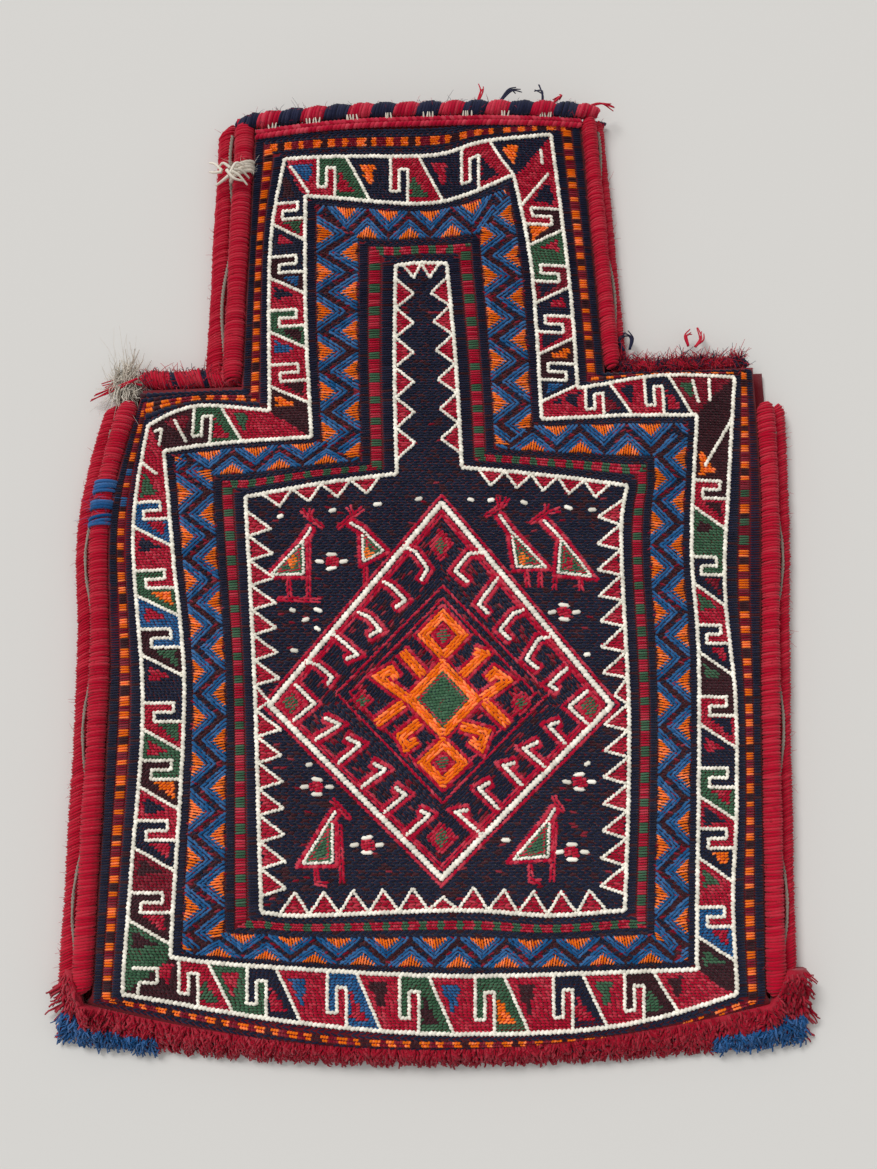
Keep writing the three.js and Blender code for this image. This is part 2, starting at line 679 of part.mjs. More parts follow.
for (const [key, name] of Object.entries(EDGE_NAMES)) {
  const length = edgeLength(key);
  for (const isBack of [false, true]) {
    const points = pathAlong(key, CORD_STEPS, (up) => cordCentre(key, up, isBack));
    const cord = bar(points, () => CORD_RADIUS[key], CORD_SIDES, CORD_STEPS);
    addPiece(`cord_${name}_${isBack ? 'back' : 'front'}`, cord, RED);
  }
  const steps = LACING_STEPS_PER_STITCH * Math.round(length / LACING_STITCH);
  const points = pathAlong(key, steps, (up) => lacingPoint(key, up, length));
  addPiece(`lacing_${name}`, bar(points, () => LACING_RADIUS, LACING_SIDES, steps), GREY_THREAD);
}

// Mouth rolls: the warp ends turned over and wrapped obliquely, which leaves a twisted fluting

function mouthRoll(isBack) {
  const radius = isBack ? BACK_ROLL_RADIUS : FRONT_ROLL_RADIUS;
  const width = mouthRight.x - mouthLeft.x;
  const points = Array.from({ length: NECK_COLUMNS + 1 }, (_, i) => {
    const across = i / NECK_COLUMNS;
    const edge = neckPoint(across, 1, isBack ? 1 : 0);
    edge.x += ROLL_OVERHANG * (2 * across - 1);
    const z = isBack ? radius * (1 + ROLL_FLUTE) : frontZ(neckPoint(across, 1));
    return new THREE.Vector3(edge.x, edge.y + radius * (1 + ROLL_FLUTE) + SEAT_GAP, z);
  });
  const twist = 4 * Math.PI * width / ROLL_PITCH;
  const fluting = (along, angle) => radius * (1 + ROLL_FLUTE * Math.cos(2 * angle - twist * along));
  return bar(points, fluting, ROLL_SIDES, isBack ? BACK_ROLL_STEPS : FRONT_ROLL_STEPS);
}

addPiece('mouth_roll_front', mouthRoll(false), RED);
addPiece('mouth_roll_back', mouthRoll(true), RED);

// Shoulder bindings: wrapped wool that closes the two short edges beside the neck

function shoulderBinding(from, to) {
  const points = [0, 0.33, 0.67, 1].map((t) => {
    const x = lerp(from, to, t);
    const reach = BINDING_RADIUS * (1 + BINDING_LUMP);
    return new THREE.Vector3(x, shoulderY(x) + reach + SEAT_GAP, BINDING_RADIUS * BINDING_LIFT);
  });
  const lumps = (along, angle) => (
    BINDING_RADIUS * (1 + BINDING_LUMP * Math.sin(BINDING_LUMP_COUNT * along + 2 * angle))
  );
  return bar(points, lumps, BINDING_SIDES, BINDING_STEPS);
}

addPiece('shoulder_binding_left', shoulderBinding(...BINDING_LEFT), RED);
addPiece('shoulder_binding_right', shoulderBinding(...BINDING_RIGHT), RED);

// Foot pile: a band of knotted pile round the foot, showing past the cloth, blue at its two ends

// The rim of the pile: it bows less than the cloth's foot, so more pile shows at the corners.
function pileRimY(x) {
  const across = (x - PILE_LEFT_X) / (PILE_RIGHT_X - PILE_LEFT_X);
  return PILE_CORNER_Y - 4 * PILE_BOW * across * (1 - across);
}

function footPile() {
  const steps = Array.from({ length: PILE_STEPS + 1 }, (_, i) => i / PILE_STEPS);
  const footEdge = steps.map((across) => bodyPoint(across, 0, PILE_FOOT_OUTSET));
  const shape = new THREE.Shape();
  const left = bodyPoint(0, 0, 1);
  const right = bodyPoint(1, 0, 1);
  shape.moveTo(PILE_LEFT_X, PILE_TOP_Y);
  shape.lineTo(left.x - SEAT_GAP, PILE_TOP_Y);
  shape.lineTo(left.x - SEAT_GAP, left.y - foldRadius / 2);
  for (const point of footEdge) shape.lineTo(point.x, point.y - foldCentreZ - SEAT_GAP);
  shape.lineTo(right.x + SEAT_GAP, right.y - foldRadius / 2);
  shape.lineTo(right.x + SEAT_GAP, PILE_TOP_Y);
  shape.lineTo(PILE_RIGHT_X, PILE_TOP_Y);
  for (const across of steps) {
    const x = lerp(PILE_RIGHT_X, PILE_LEFT_X, across);
    shape.lineTo(x, pileRimY(x));
  }
  shape.closePath();
  const geometry = new THREE.ExtrudeGeometry(shape, {
    depth: PILE_HEIGHT - 2 * PILE_EDGE,
    bevelThickness: PILE_EDGE,
    bevelSize: PILE_EDGE,
    bevelOffset: -PILE_EDGE,
    bevelSegments: 1,
  });
  return geometry.translate(0, 0, PILE_EDGE);
}

addPiece('foot_pile', footPile(), RED);

// Blue tufts along the rim of the pile at its two ends
function bluePile(stations) {
  const reach = BLUE_PILE_RADIUS * (1 + BLUE_TUFT);
  const path = stations.map((x) => new THREE.Vector3(x, pileRimY(x) - reach - SEAT_GAP, reach));
  const tufts = (along, angle) => (
    BLUE_PILE_RADIUS * (1 + BLUE_TUFT * Math.sin(BLUE_TUFT_COUNT * along + 3 * angle))
  );
  return bar(path, tufts, BLUE_SIDES, BLUE_STEPS);
}

addPiece('foot_pile_blue_left', bluePile(BLUE_LEFT), BLUE);
addPiece('foot_pile_blue_right', bluePile(BLUE_RIGHT), BLUE);

// Mends: yarn wound over the top of a front cord, as a saddle that follows the cord

function saddle(key, centreUp, length) {
  const middle = cordCentre(key, centreUp, false);
  const ahead = cordCentre(key, centreUp + EDGE_STEP, false);
  const inner = CORD_RADIUS[key] + MEND_GAP;
  const outer = inner + MEND_THICK;
  const [start, end] = MEND_ARC;
  const section = new THREE.Shape();
  section.absarc(0, 0, outer, start, end, false);
  section.absarc(0, 0, inner, end, start, true);
  section.closePath();
  const geometry = new THREE.ExtrudeGeometry(section, {
    depth: length,
    bevelEnabled: false,
    curveSegments: MEND_STEPS,
  });
  geometry.translate(0, 0, -length / 2);
  geometry.rotateX(Math.PI / 2);
  geometry.rotateZ(Math.atan2(-(ahead.x - middle.x), ahead.y - middle.y));
  return geometry.translate(middle.x, middle.y, middle.z);
}

addPiece('neck_tie', saddle('leftNeck', NECK_TIE_UP, NECK_TIE_LENGTH), WOOL_WHITE);
addPiece('side_mend', saddle('leftSide', MEND_UP, MEND_LENGTH), BLUE);

// Shoulder tuft: loose grey-white wool caught in the left shoulder corner

function shoulderTuft() {
  const geometry = new THREE.SphereGeometry(1, TUFT_SIDES, TUFT_RINGS);
  geometry.deleteAttribute('normal');
  geometry.deleteAttribute('uv');
  const welded = mergeVertices(geometry, WELD_DISTANCE);
  const position = welded.getAttribute('position');
  for (let i = 0; i < position.count; i += 1) {
    const spot = new THREE.Vector3().fromBufferAttribute(position, i);
    const lump = 1 + TUFT_LUMP * Math.sin(5 * spot.x + 2) * Math.cos(4 * spot.y - 3 * spot.z);
    position.setXYZ(i, spot.x * lump, spot.y * lump, spot.z * lump);
  }
  return welded.scale(...TUFT_RADII).translate(...TUFT_CENTRE);
}

addPiece('shoulder_tuft', shoulderTuft(), WOOL_WHITE);

const centre = new THREE.Box3().setFromObject(bag).getCenter(new THREE.Vector3());
bag.position.set(-centre.x, -centre.y, 0);

export default bag;
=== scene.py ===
import math

import bpy
import numpy as np
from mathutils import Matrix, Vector


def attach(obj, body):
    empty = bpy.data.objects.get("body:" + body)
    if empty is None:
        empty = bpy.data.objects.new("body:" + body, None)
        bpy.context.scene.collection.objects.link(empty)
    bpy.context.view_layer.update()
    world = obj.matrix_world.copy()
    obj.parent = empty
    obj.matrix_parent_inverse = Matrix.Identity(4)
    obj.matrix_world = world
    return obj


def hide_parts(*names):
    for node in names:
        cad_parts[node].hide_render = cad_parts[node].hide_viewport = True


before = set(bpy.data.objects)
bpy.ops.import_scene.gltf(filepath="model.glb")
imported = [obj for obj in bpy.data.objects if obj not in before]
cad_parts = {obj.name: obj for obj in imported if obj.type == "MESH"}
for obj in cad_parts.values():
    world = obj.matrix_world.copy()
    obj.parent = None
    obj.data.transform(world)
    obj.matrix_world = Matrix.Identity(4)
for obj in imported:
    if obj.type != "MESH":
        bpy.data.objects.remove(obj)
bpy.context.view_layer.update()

# Woven ground: one strip of wool cloth, folded at the foot, so that front and back are one piece.
# It is the plain dark red weave that the pattern yarns are worked on, and it shows as the bag's back.
# Its selvedges are held by the edge cords. Lengths below are in millimetres.

MM = 0.001
FRAME_SHIFT_X = -0.13
CLOTH_THICK = 3.6
YARN_COVER = 1.2
FRONT_EDGE_Z = 11.0
FRONT_CROWN = 8.0
CROWN_REACH = 75.0
FOLD_RADIUS = 4.6
FOLD_CENTRE_Z = 6.4
LEFT_SIDE = [(-169, -228), (-168, -70), (-171, 20), (-157, 90)]
RIGHT_SIDE = [(164, -228), (168, -90), (173, 30), (172, 103)]
NECK_X = (-104.0, 92.0)
MOUTH_LEFT = (-101.0, 241.0)
MOUTH_RIGHT = (82.0, 248.0)
FOOT_BOW = 22.0
BACK_OUTSET = {"neck_left": 10.0, "side_left": 8.6, "neck_right": 5.2, "side_right": 7.4}
SHOULDER_COLUMNS = 9
NECK_COLUMNS = 30
NECK_ROWS = 20
BODY_ROWS = 44
FOLD_ROWS = 7

random = np.random.default_rng(7)


def smooth_points(points, per_span=24):
    """A soft curve through a few points, as a fine row of points."""
    points = np.asarray(points, float)
    if len(points) == 2:
        share = np.linspace(0, 1, per_span + 1)[:, None]
        return points[0] + share * (points[1] - points[0])
    padded = np.vstack([points[:1], points, points[-1:]])
    t = np.linspace(0, 1, per_span, endpoint=False)[:, None]
    rows = []
    for before, start, end, after in zip(padded, padded[1:], padded[2:], padded[3:]):
        leave = (end - before) / 2
        arrive = (after - start) / 2
        bend = (2 * start - 2 * end + leave + arrive) * t**3
        rows.append(bend + (3 * end - 3 * start - 2 * leave - arrive) * t**2 + leave * t + start)
    return np.vstack(rows + [points[-1:]])


def along_curve(points, share):
    """The point at a share of a curve's length, for one share or many."""
    steps = np.linalg.norm(np.diff(points, axis=0), axis=1)
    travelled = np.concatenate([[0], np.cumsum(steps)]) / steps.sum()
    columns = [np.interp(share, travelled, points[:, k]) for k in range(points.shape[1])]
    return np.stack(columns, axis=-1)


left_curve = smooth_points(LEFT_SIDE, 80)
right_curve = smooth_points(RIGHT_SIDE, 80)


def shoulder_y(x):
    (x0, y0), (x1, y1) = LEFT_SIDE[-1], RIGHT_SIDE[-1]
    return y0 + (y1 - y0) * (x - x0) / (x1 - x0)


def body_point(across, up, outset=0.0):
    """A point of the body: across from the left side, up from the start of the foot fold."""
    across = np.asarray(across, float)
    left = along_curve(left_curve, up) - np.array([BACK_OUTSET["side_left"] * outset, 0])
    right = along_curve(right_curve, up) + np.array([BACK_OUTSET["side_right"] * outset, 0])
    point = left + (right - left) * across[..., None]
    point[..., 1] -= FOOT_BOW * (1 - (2 * across - 1) ** 2) * (1 - up) ** 2
    point[..., 1] += FOLD_CENTRE_Z * (1 - up)
    return point


def neck_point(across, up, outset=0.0):
    """A point of the neck: up from the shoulder line to the mouth."""
    across = np.asarray(across, float)[..., None]
    neck_left = np.array([NECK_X[0], shoulder_y(NECK_X[0])])
    neck_right = np.array([NECK_X[1], shoulder_y(NECK_X[1])])
    up = np.asarray(up, float)[..., None]
    left = neck_left + (np.array(MOUTH_LEFT) - neck_left) * up
    right = neck_right + (np.array(MOUTH_RIGHT) - neck_right) * up
    left = left - np.array([BACK_OUTSET["neck_left"] * outset, 0])
    right = right + np.array([BACK_OUTSET["neck_right"] * outset, 0])
    return left + (right - left) * across


held_line = np.array(
    [
        MOUTH_LEFT,
        (NECK_X[0], shoulder_y(NECK_X[0])),
        LEFT_SIDE[-1],
        along_curve(left_curve, 0.5),
        LEFT_SIDE[0],
        body_point(0.5, 0.0),
        RIGHT_SIDE[0],
        along_curve(right_curve, 0.5),
        RIGHT_SIDE[-1],
        (NECK_X[1], shoulder_y(NECK_X[1])),
        MOUTH_RIGHT,
    ]
)


def front_z(x, y):
    """Height of the front cloth's middle: held down at its edges, swelling to a soft uneven crown."""
    spots = np.stack([x, y], axis=-1)
    nearest = np.full(np.shape(x), np.inf)
    for start, end in zip(held_line, held_line[1:]):
        run = end - start
        share = np.clip(((spots - start) @ run) / (run @ run), 0, 1)
        nearest = np.minimum(nearest, np.linalg.norm(spots - start - share[..., None] * run, axis=-1))
    swell = np.minimum(nearest / CROWN_REACH, 1)
    ripple = 0.8 * np.sin(x / 36 + 0.6) * np.cos(y / 49) + 0.5 * np.sin((x - y) / 27)
    return FRONT_EDGE_Z + FRONT_CROWN * swell * (2 - swell) + ripple * np.minimum(3 * swell, 1)


foot_line = body_point(np.linspace(0, 1, 90), 0.0)


def ground_z(x, y):
    """Height of the ground's upper face, where the yarns sit, on the front and round the foot fold."""
    fold_start = np.interp(x, foot_line[:, 0], foot_line[:, 1])
    past = np.clip((fold_start - y) / (FOLD_RADIUS + 0.6), 0, 0.98)
    folded = FOLD_CENTRE_Z + (FOLD_RADIUS + 0.6) * np.sqrt(1 - past**2)
    return np.where(y < fold_start, folded, front_z(x, y) + CLOTH_THICK / 2 - YARN_COVER)


def colour(red, green, blue):
    """A colour as it looks on the photo's scale of 0 to 255, ready for a shader socket."""
    parts = [c / 255 for c in (red, green, blue)]
    linear = [p / 12.92 if p <= 0.04045 else ((p + 0.055) / 1.055) ** 2.4 for p in parts]
    return (*linear, 1.0)


def wool_tone_group():
    """Uneven dye for any wool: each strand a little lighter or darker, faded patches and fine fibres."""
    group = bpy.data.node_groups.new("wool_tone", "ShaderNodeTree")
    group.interface.new_socket("Dye", in_out="INPUT", socket_type="NodeSocketColor")
    group.interface.new_socket("Unevenness", in_out="INPUT", socket_type="NodeSocketFloat")
    group.interface.new_socket("Colour", in_out="OUTPUT", socket_type="NodeSocketColor")
    group.interface.new_socket("Fibre", in_out="OUTPUT", socket_type="NodeSocketFloat")
    nodes, links = group.nodes, group.links
    source = nodes.new("NodeGroupInput")
    result = nodes.new("NodeGroupOutput")
    place = nodes.new("ShaderNodeTexCoord")
    strand = nodes.new("ShaderNodeNewGeometry")
    patch = nodes.new("ShaderNodeTexNoise")
    patch.inputs["Scale"].default_value = 38
    patch.inputs["Detail"].default_value = 3
    fibre = nodes.new("ShaderNodeTexNoise")
    fibre.inputs["Scale"].default_value = 2300
    fibre.inputs["Detail"].default_value = 2
    links.new(place.outputs["Object"], patch.inputs["Vector"])
    links.new(place.outputs["Object"], fibre.inputs["Vector"])

    def mix(operation, first, second):
        node = nodes.new("ShaderNodeMath")
        node.operation = operation
        for socket, value in zip(node.inputs, (first, second)):
            if isinstance(value, (int, float)):
                socket.default_value = value
            else:
                links.new(value, socket)
        return node.outputs[0]

    tone = mix("ADD", strand.outputs["Random Per Island"], patch.outputs["Fac"])
    tone = mix("ADD", tone, mix("MULTIPLY", fibre.outputs["Fac"], 1.0))
    tone = mix("MULTIPLY", mix("SUBTRACT", tone, 1.5), source.outputs["Unevenness"])
    dyed = nodes.new("ShaderNodeHueSaturation")
    links.new(mix("ADD", tone, 1.0), dyed.inputs["Value"])
    links.new(mix("SUBTRACT", 1.0, mix("MULTIPLY", tone, 0.3)), dyed.inputs["Saturation"])
    links.new(source.outputs["Dye"], dyed.inputs["Color"])
    links.new(dyed.outputs["Color"], result.inputs["Colour"])
    links.new(fibre.outputs["Fac"], result.inputs["Fibre"])
    return group


wool_tone = wool_tone_group()


def wool(name, dye, unevenness=0.45, sheen=0.12, fibre_height=0.00025):
    """A matt wool of one dye."""
    material = bpy.data.materials.new(name)
    material.use_nodes = True
    nodes, links = material.node_tree.nodes, material.node_tree.links
    surface = nodes["Principled BSDF"]
    surface.inputs["Roughness"].default_value = 0.92
    surface.inputs["Specular IOR Level"].default_value = 0.12
    surface.inputs["Sheen Weight"].default_value = sheen
    tone = nodes.new("ShaderNodeGroup")
    tone.node_tree = wool_tone
    tone.inputs["Dye"].default_value = dye
    tone.inputs["Unevenness"].default_value = unevenness
    bump = nodes.new("ShaderNodeBump")
    bump.inputs["Distance"].default_value = fibre_height
    bump.inputs["Strength"].default_value = 0.7
    links.new(tone.outputs["Colour"], surface.inputs["Base Color"])
    links.new(tone.outputs["Fibre"], bump.inputs["Height"])
    links.new(bump.outputs["Normal"], surface.inputs["Normal"])
    return material


def make_piece(name, points, faces, material, slot, stands_for=()):
    """A smooth mesh from points in mm and arrays of quads or triangles, riding on the bag's one body."""
    mesh = bpy.data.meshes.new(name)
    sizes = np.concatenate([np.full(len(f), f.shape[1], np.int32) for f in faces])
    corners = np.concatenate([f.ravel() for f in faces]).astype(np.int32)
    starts = (np.cumsum(sizes) - sizes).astype(np.int32)
    mesh.vertices.add(len(points))
    mesh.vertices.foreach_set("co", ((points + [FRAME_SHIFT_X, 0, 0]) * MM).astype(np.float32).ravel())
    mesh.loops.add(len(corners))
    mesh.loops.foreach_set("vertex_index", corners)
    mesh.polygons.add(len(sizes))
    mesh.polygons.foreach_set("loop_start", starts)
    mesh.polygons.foreach_set("use_smooth", np.ones(len(sizes), bool))
    mesh.update(calc_edges=True)
    mesh.materials.append(material)
    piece = bpy.data.objects.new(name, mesh)
    bpy.context.scene.collection.objects.link(piece)
    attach(piece, "root")
    if stands_for:
        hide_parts(*stands_for)
    return piece


def ground_mesh():
    """The folded strip as a closed shell: rows run from the front mouth round the foot to the back."""
    rows = [(True, i / NECK_ROWS, 0.0) for i in range(NECK_ROWS, 0, -1)]
    rows += [(False, i / BODY_ROWS, 0.0) for i in range(BODY_ROWS, 0, -1)]
    rows += [(False, 0.0, i / FOLD_ROWS) for i in range(FOLD_ROWS + 1)]
    rows += [(False, i / BODY_ROWS, 1.0) for i in range(1, BODY_ROWS + 1)]
    rows += [(True, i / NECK_ROWS, 1.0) for i in range(1, NECK_ROWS + 1)]
    columns = 2 * SHOULDER_COLUMNS + NECK_COLUMNS
    first, last = SHOULDER_COLUMNS, SHOULDER_COLUMNS + NECK_COLUMNS
    width = RIGHT_SIDE[-1][0] - LEFT_SIDE[-1][0]
    marks = [0, (NECK_X[0] - LEFT_SIDE[-1][0]) / width, (NECK_X[1] - LEFT_SIDE[-1][0]) / width, 1]
    across = np.interp(np.arange(columns + 1), [0, first, last, columns], marks)
    index = np.full((len(rows), columns + 1), -1)
    points = []
    for r, (is_neck, up, turn) in enumerate(rows):
        span = range(first, last + 1) if is_neck else range(columns + 1)
        if is_neck:
            flat = neck_point((np.arange(first, last + 1) - first) / NECK_COLUMNS, up, turn)
        else:
            flat = body_point(across, up, turn)
        angle = math.pi * turn
        if turn == 0:
            height = front_z(flat[:, 0], flat[:, 1])
        else:
            height = np.full(len(flat), FOLD_CENTRE_Z + FOLD_RADIUS * math.cos(angle))
        middle = np.column_stack([flat[:, 0], flat[:, 1] - FOLD_RADIUS * math.sin(angle), height])
        normal = np.array([0, -math.sin(angle), math.cos(angle)])
        outer = CLOTH_THICK / 2 - YARN_COVER * (1 - turn)
        inner = CLOTH_THICK / 2 - YARN_COVER * turn
        for column, spot in zip(span, middle):
            index[r, column] = len(points)
            points += [spot + normal * outer, spot - normal * inner]
    faces = []

    def has_cell(r, c):
        if not (0 <= r < len(rows) - 1 and 0 <= c < columns):
            return False
        return index[r : r + 2, c : c + 2].min() >= 0

    for r in range(len(rows) - 1):
        for c in range(columns):
            if not has_cell(r, c):
                continue
            a, b, d, e = index[r, c], index[r, c + 1], index[r + 1, c], index[r + 1, c + 1]
            faces += [(a, d, e, b), (a + 1, b + 1, e + 1, d + 1)]
            sides = [((r, c - 1), a, d), ((r + 1, c), d, e), ((r, c + 1), e, b), ((r - 1, c), b, a)]
            for cell, start, end in sides:
                if not has_cell(*cell):
                    faces.append((end, start, start + 1, end + 1))
    return np.array(points), [np.array(faces)]


BACK_RED = colour(112, 24, 34)
ground_wool = wool("ground_weave_wool", BACK_RED, 0.5)
woven_ground = make_piece("woven_ground", *ground_mesh(), ground_wool, "woven_cloth", ["woven_cloth"])

# Pattern yarns: wool of one dye each, wrapped round the ground's warps row by row, so that the front is
# covered with short slanted strands. The outlines are thicker twisted ivory yarn that stands a little higher.
# Four nested frames follow the bottle outline: the cloth's edge, two ivory lines and the field's frame.

NAVY, FIELD_NAVY, RED, DARK_RED, ORANGE, BLUE, GREEN, BROWN = range(8)
BORDER_IVORY, FIELD_IVORY, MEDALLION_IVORY, MOTIF_IVORY = range(8, 12)
NAVY_SHADE = colour(28, 33, 57)
IVORY_SHADE = colour(243, 237, 222)
YARNS = [
    ("border_navy_yarn", NAVY_SHADE, "woven_cloth", []),
    ("field_navy_yarn", NAVY_SHADE, "woven_cloth", []),
    ("red_yarn", colour(186, 24, 54), "woven_cloth", []),
    ("dark_red_yarn", colour(136, 24, 44), "woven_cloth", []),
    ("orange_yarn", colour(250, 118, 12), "woven_cloth", []),
    ("blue_yarn", colour(40, 96, 148), "woven_cloth", []),
    ("green_yarn", colour(66, 104, 76), "woven_cloth", []),
    ("brown_yarn", colour(64, 28, 36), "woven_cloth", []),
    ("border_ivory_rope", IVORY_SHADE, "ivory_wool", ["border_outline_yarn"]),
    ("field_ivory_rope", IVORY_SHADE, "ivory_wool", ["field_outline_yarn"]),
    ("medallion_ivory_rope", IVORY_SHADE, "ivory_wool", ["medallion_outline_yarn"]),
    ("motif_ivory_yarn", IVORY_SHADE, "ivory_wool", []),
]
ROW_PITCH = 1.45
RIB_PITCH = 1.3
STRAND_LENGTH = 3.4
STRAND_HEIGHT = 1.25
OUTLINE_LIFT = 0.45
OUTLINE_HEIGHT = 1.5
OUTLINE_PITCH = 2.1
ROW_LEAN = 0.3
TRAIL_OVERLAP = 1.7
TRAIL_COVER = 1.45
EDGE_LIFT = 0.35
PATCH_LIFT = 0.55
MARK_LIFT = 0.8

# Eight runs of each frame, clockwise from the left of the mouth: mouth, right neck, right shoulder,
# right side, foot, left side, left shoulder, left neck. Each starts at a corner and has points on its way.
EDGE, OUTER, INNER, FIELD = range(4)
FRAMES = [
    [
        [(-100.4, 237), (-8, 239), (25, 242)],
        [(81.4, 246.5)],
        [(91.4, 100)],
        [(171.4, 102), (172.4, 30), (167.4, -90)],
        [(163.6, -226), (111, -246), (10, -250), (-62, -247)],
        [(-168.4, -226), (-167.4, -70), (-170.4, 20)],
        [(-157, 88.5)],
        [(-103.4, 90.5)],
    ],
    [
        [(-83.2, 222.4), (-5, 222.4), (26, 231)],
        [(64.7, 237.5), (73.6, 149)],
        [(76.7, 90), (121, 98)],
        [(161.2, 97), (155, 32), (151, -19), (154, -77), (152.4, -130), (148.4, -176)],
        [(148.8, -221), (107, -233), (61, -239), (-7, -239.5), (-75, -233.5)],
        [(-153.2, -221), (-151, -157), (-149, -77), (-158.5, 12)],
        [(-153, 70), (-126.5, 80.5)],
        [(-88, 77.3), (-90, 169)],
    ],
    [
        [(-71, 199.3), (-1.6, 194.5)],
        [(43.6, 211.7), (52.8, 156.5)],
        [(57, 71.7), (98, 74.2)],
        [(139.5, 74.4), (134.2, 2), (135.4, -60), (129.6, -189)],
        [(129.7, -209), (12.5, -212), (-93, -207)],
        [(-129.5, -203), (-127.3, -77), (-135.6, -5)],
        [(-143.7, 55.2), (-104, 59.6)],
        [(-65, 61.7), (-69.5, 130)],
    ],
    [
        [(-21, 158), (-7, 159.4)],
        [(6.6, 159), (11.4, 102)],
        [(14.4, 44.8), (57, 40.6)],
        [(100.9, 35), (97, 6), (98.5, -87)],
        [(94, -180.5), (56.4, -183), (12.6, -180.5), (-62, -183)],
        [(-85, -181.5), (-90.6, -81)],
        [(-98.8, 29), (-60, 36.2)],
        [(-19.8, 41.5), (-21.3, 100)],
    ],
]
MOUTH_RUN, RIGHT_NECK, RIGHT_SHOULDER, RIGHT_RUN, FOOT_RUN, LEFT_RUN, LEFT_SHOULDER, LEFT_NECK = range(8)
UPRIGHT_RUNS = (RIGHT_NECK, RIGHT_RUN, LEFT_RUN, LEFT_NECK)
INWARD_CORNERS = (RIGHT_SHOULDER, LEFT_NECK)

frame_lines = [
    [smooth_points(run + runs[(k + 1) % 8][:1]) for k, run in enumerate(runs)] for runs in FRAMES
]


def frame_at(level, run, place):
    """Where a run of a frame is: x at a height y on an upright run, y at a place x on a level one."""
    line = frame_lines[level][run]
    by, value = (line[:, 1], line[:, 0]) if run in UPRIGHT_RUNS else (line[:, 0], line[:, 1])
    order = np.argsort(by)
    return np.interp(place, by[order], value[order])


def share_between(levels, run, x, y):
    """How far a point is from a run's outer frame, at 0, to its inner frame, at 1."""
    place, value = (y, x) if run in UPRIGHT_RUNS else (x, y)
    outer = frame_at(levels[0], run, place)
    inner = frame_at(levels[1], run, place)
    return (value - outer) / (inner - outer)


def run_reach(levels, run):
    """The lowest and highest place along a run that either of its frames covers."""
    axis = 1 if run in UPRIGHT_RUNS else 0
    both = np.concatenate([frame_lines[level][run][:, axis] for level in levels])
    return both.min(), both.max()


def belongs(levels, run, x, y):
    """Whether a point is in this run and not in a neighbour's, with mitred corners."""
    share = share_between(levels, run, x, y)
    inside = (share >= 0) & (share <= 1)
    for corner, neighbour in ((run, (run - 1) % 8), ((run + 1) % 8, (run + 1) % 8)):
        other = share_between(levels, neighbour, x, y)
        inside &= (other <= share) if corner in INWARD_CORNERS else (other >= share)
    low, high = run_reach(levels, run)
    place = y if run in UPRIGHT_RUNS else x
    return inside & (place >= low) & (place <= high)


def run_start(levels, run):
    """The top of an upright run or the left end of a level one, between its two frames."""
    axis = 1 if run in UPRIGHT_RUNS else 0
    ends = [frame_lines[level][run][[0, -1], axis] for level in levels]
    pick = np.max if run in UPRIGHT_RUNS else np.min
    return float(np.mean([pick(e) for e in ends]))


def band_spot(levels, run, along, share):
    """A point between two frames, from its place along the run and its share from the outer frame."""
    along = np.asarray(along, float)
    start = run_start(levels, run)
    place = start - along if run in UPRIGHT_RUNS else start + along
    outer, inner = frame_at(levels[0], run, place), frame_at(levels[1], run, place)
    value = outer + (inner - outer) * np.asarray(share, float)
    return np.stack([value, place] if run in UPRIGHT_RUNS else [place, value], axis=-1)


strands = {"fine": [], "thick": []}


def lay(kind, x, y, angle, length, width, height, lift, dye, keep=None):
    """Adds strands: places in mm, angle from +X, sizes, and the height of their feet over the ground."""
    parts = np.broadcast_arrays(x, y, angle, length, width, height, lift, dye)
    rows = np.stack([np.ravel(p).astype(float) for p in parts], axis=1)
    strands[kind].append(rows if keep is None else rows[np.ravel(keep)])


def jitter(shape, amount):
    return random.uniform(-amount, amount, shape)


def guard_dye(run, along):
    """Orange blocks on dark red, with a few blue ones at the upper left and green ones at the upper right."""
    block = np.floor(along / 8.1).astype(int)
    size = 4.0 + 1.1 * np.sin(block * 2.4)
    is_block = (along % 8.1) < size
    dye = np.where(is_block, ORANGE, np.where(block % 3 == 0, BROWN, DARK_RED))
    if run == RIGHT_RUN:
        dye = np.where(is_block & np.isin(block, (8, 10, 11)), GREEN, dye)
    if run == LEFT_RUN:
        dye = np.where(is_block & np.isin(block, (4, 6)), BLUE, dye)
    return dye


def barber_dye(run, along):
    """Red and green blocks in turn."""
    period, red_part = (12.3, 7.8) if run in UPRIGHT_RUNS else (9.4, 5.8)
    return np.where((along + 0.9 * np.sin(along / 17)) % period < red_part, RED, GREEN)


def navy_dye(run, along):
    return np.where(random.random(np.shape(along)) < 0.07, BROWN, NAVY)


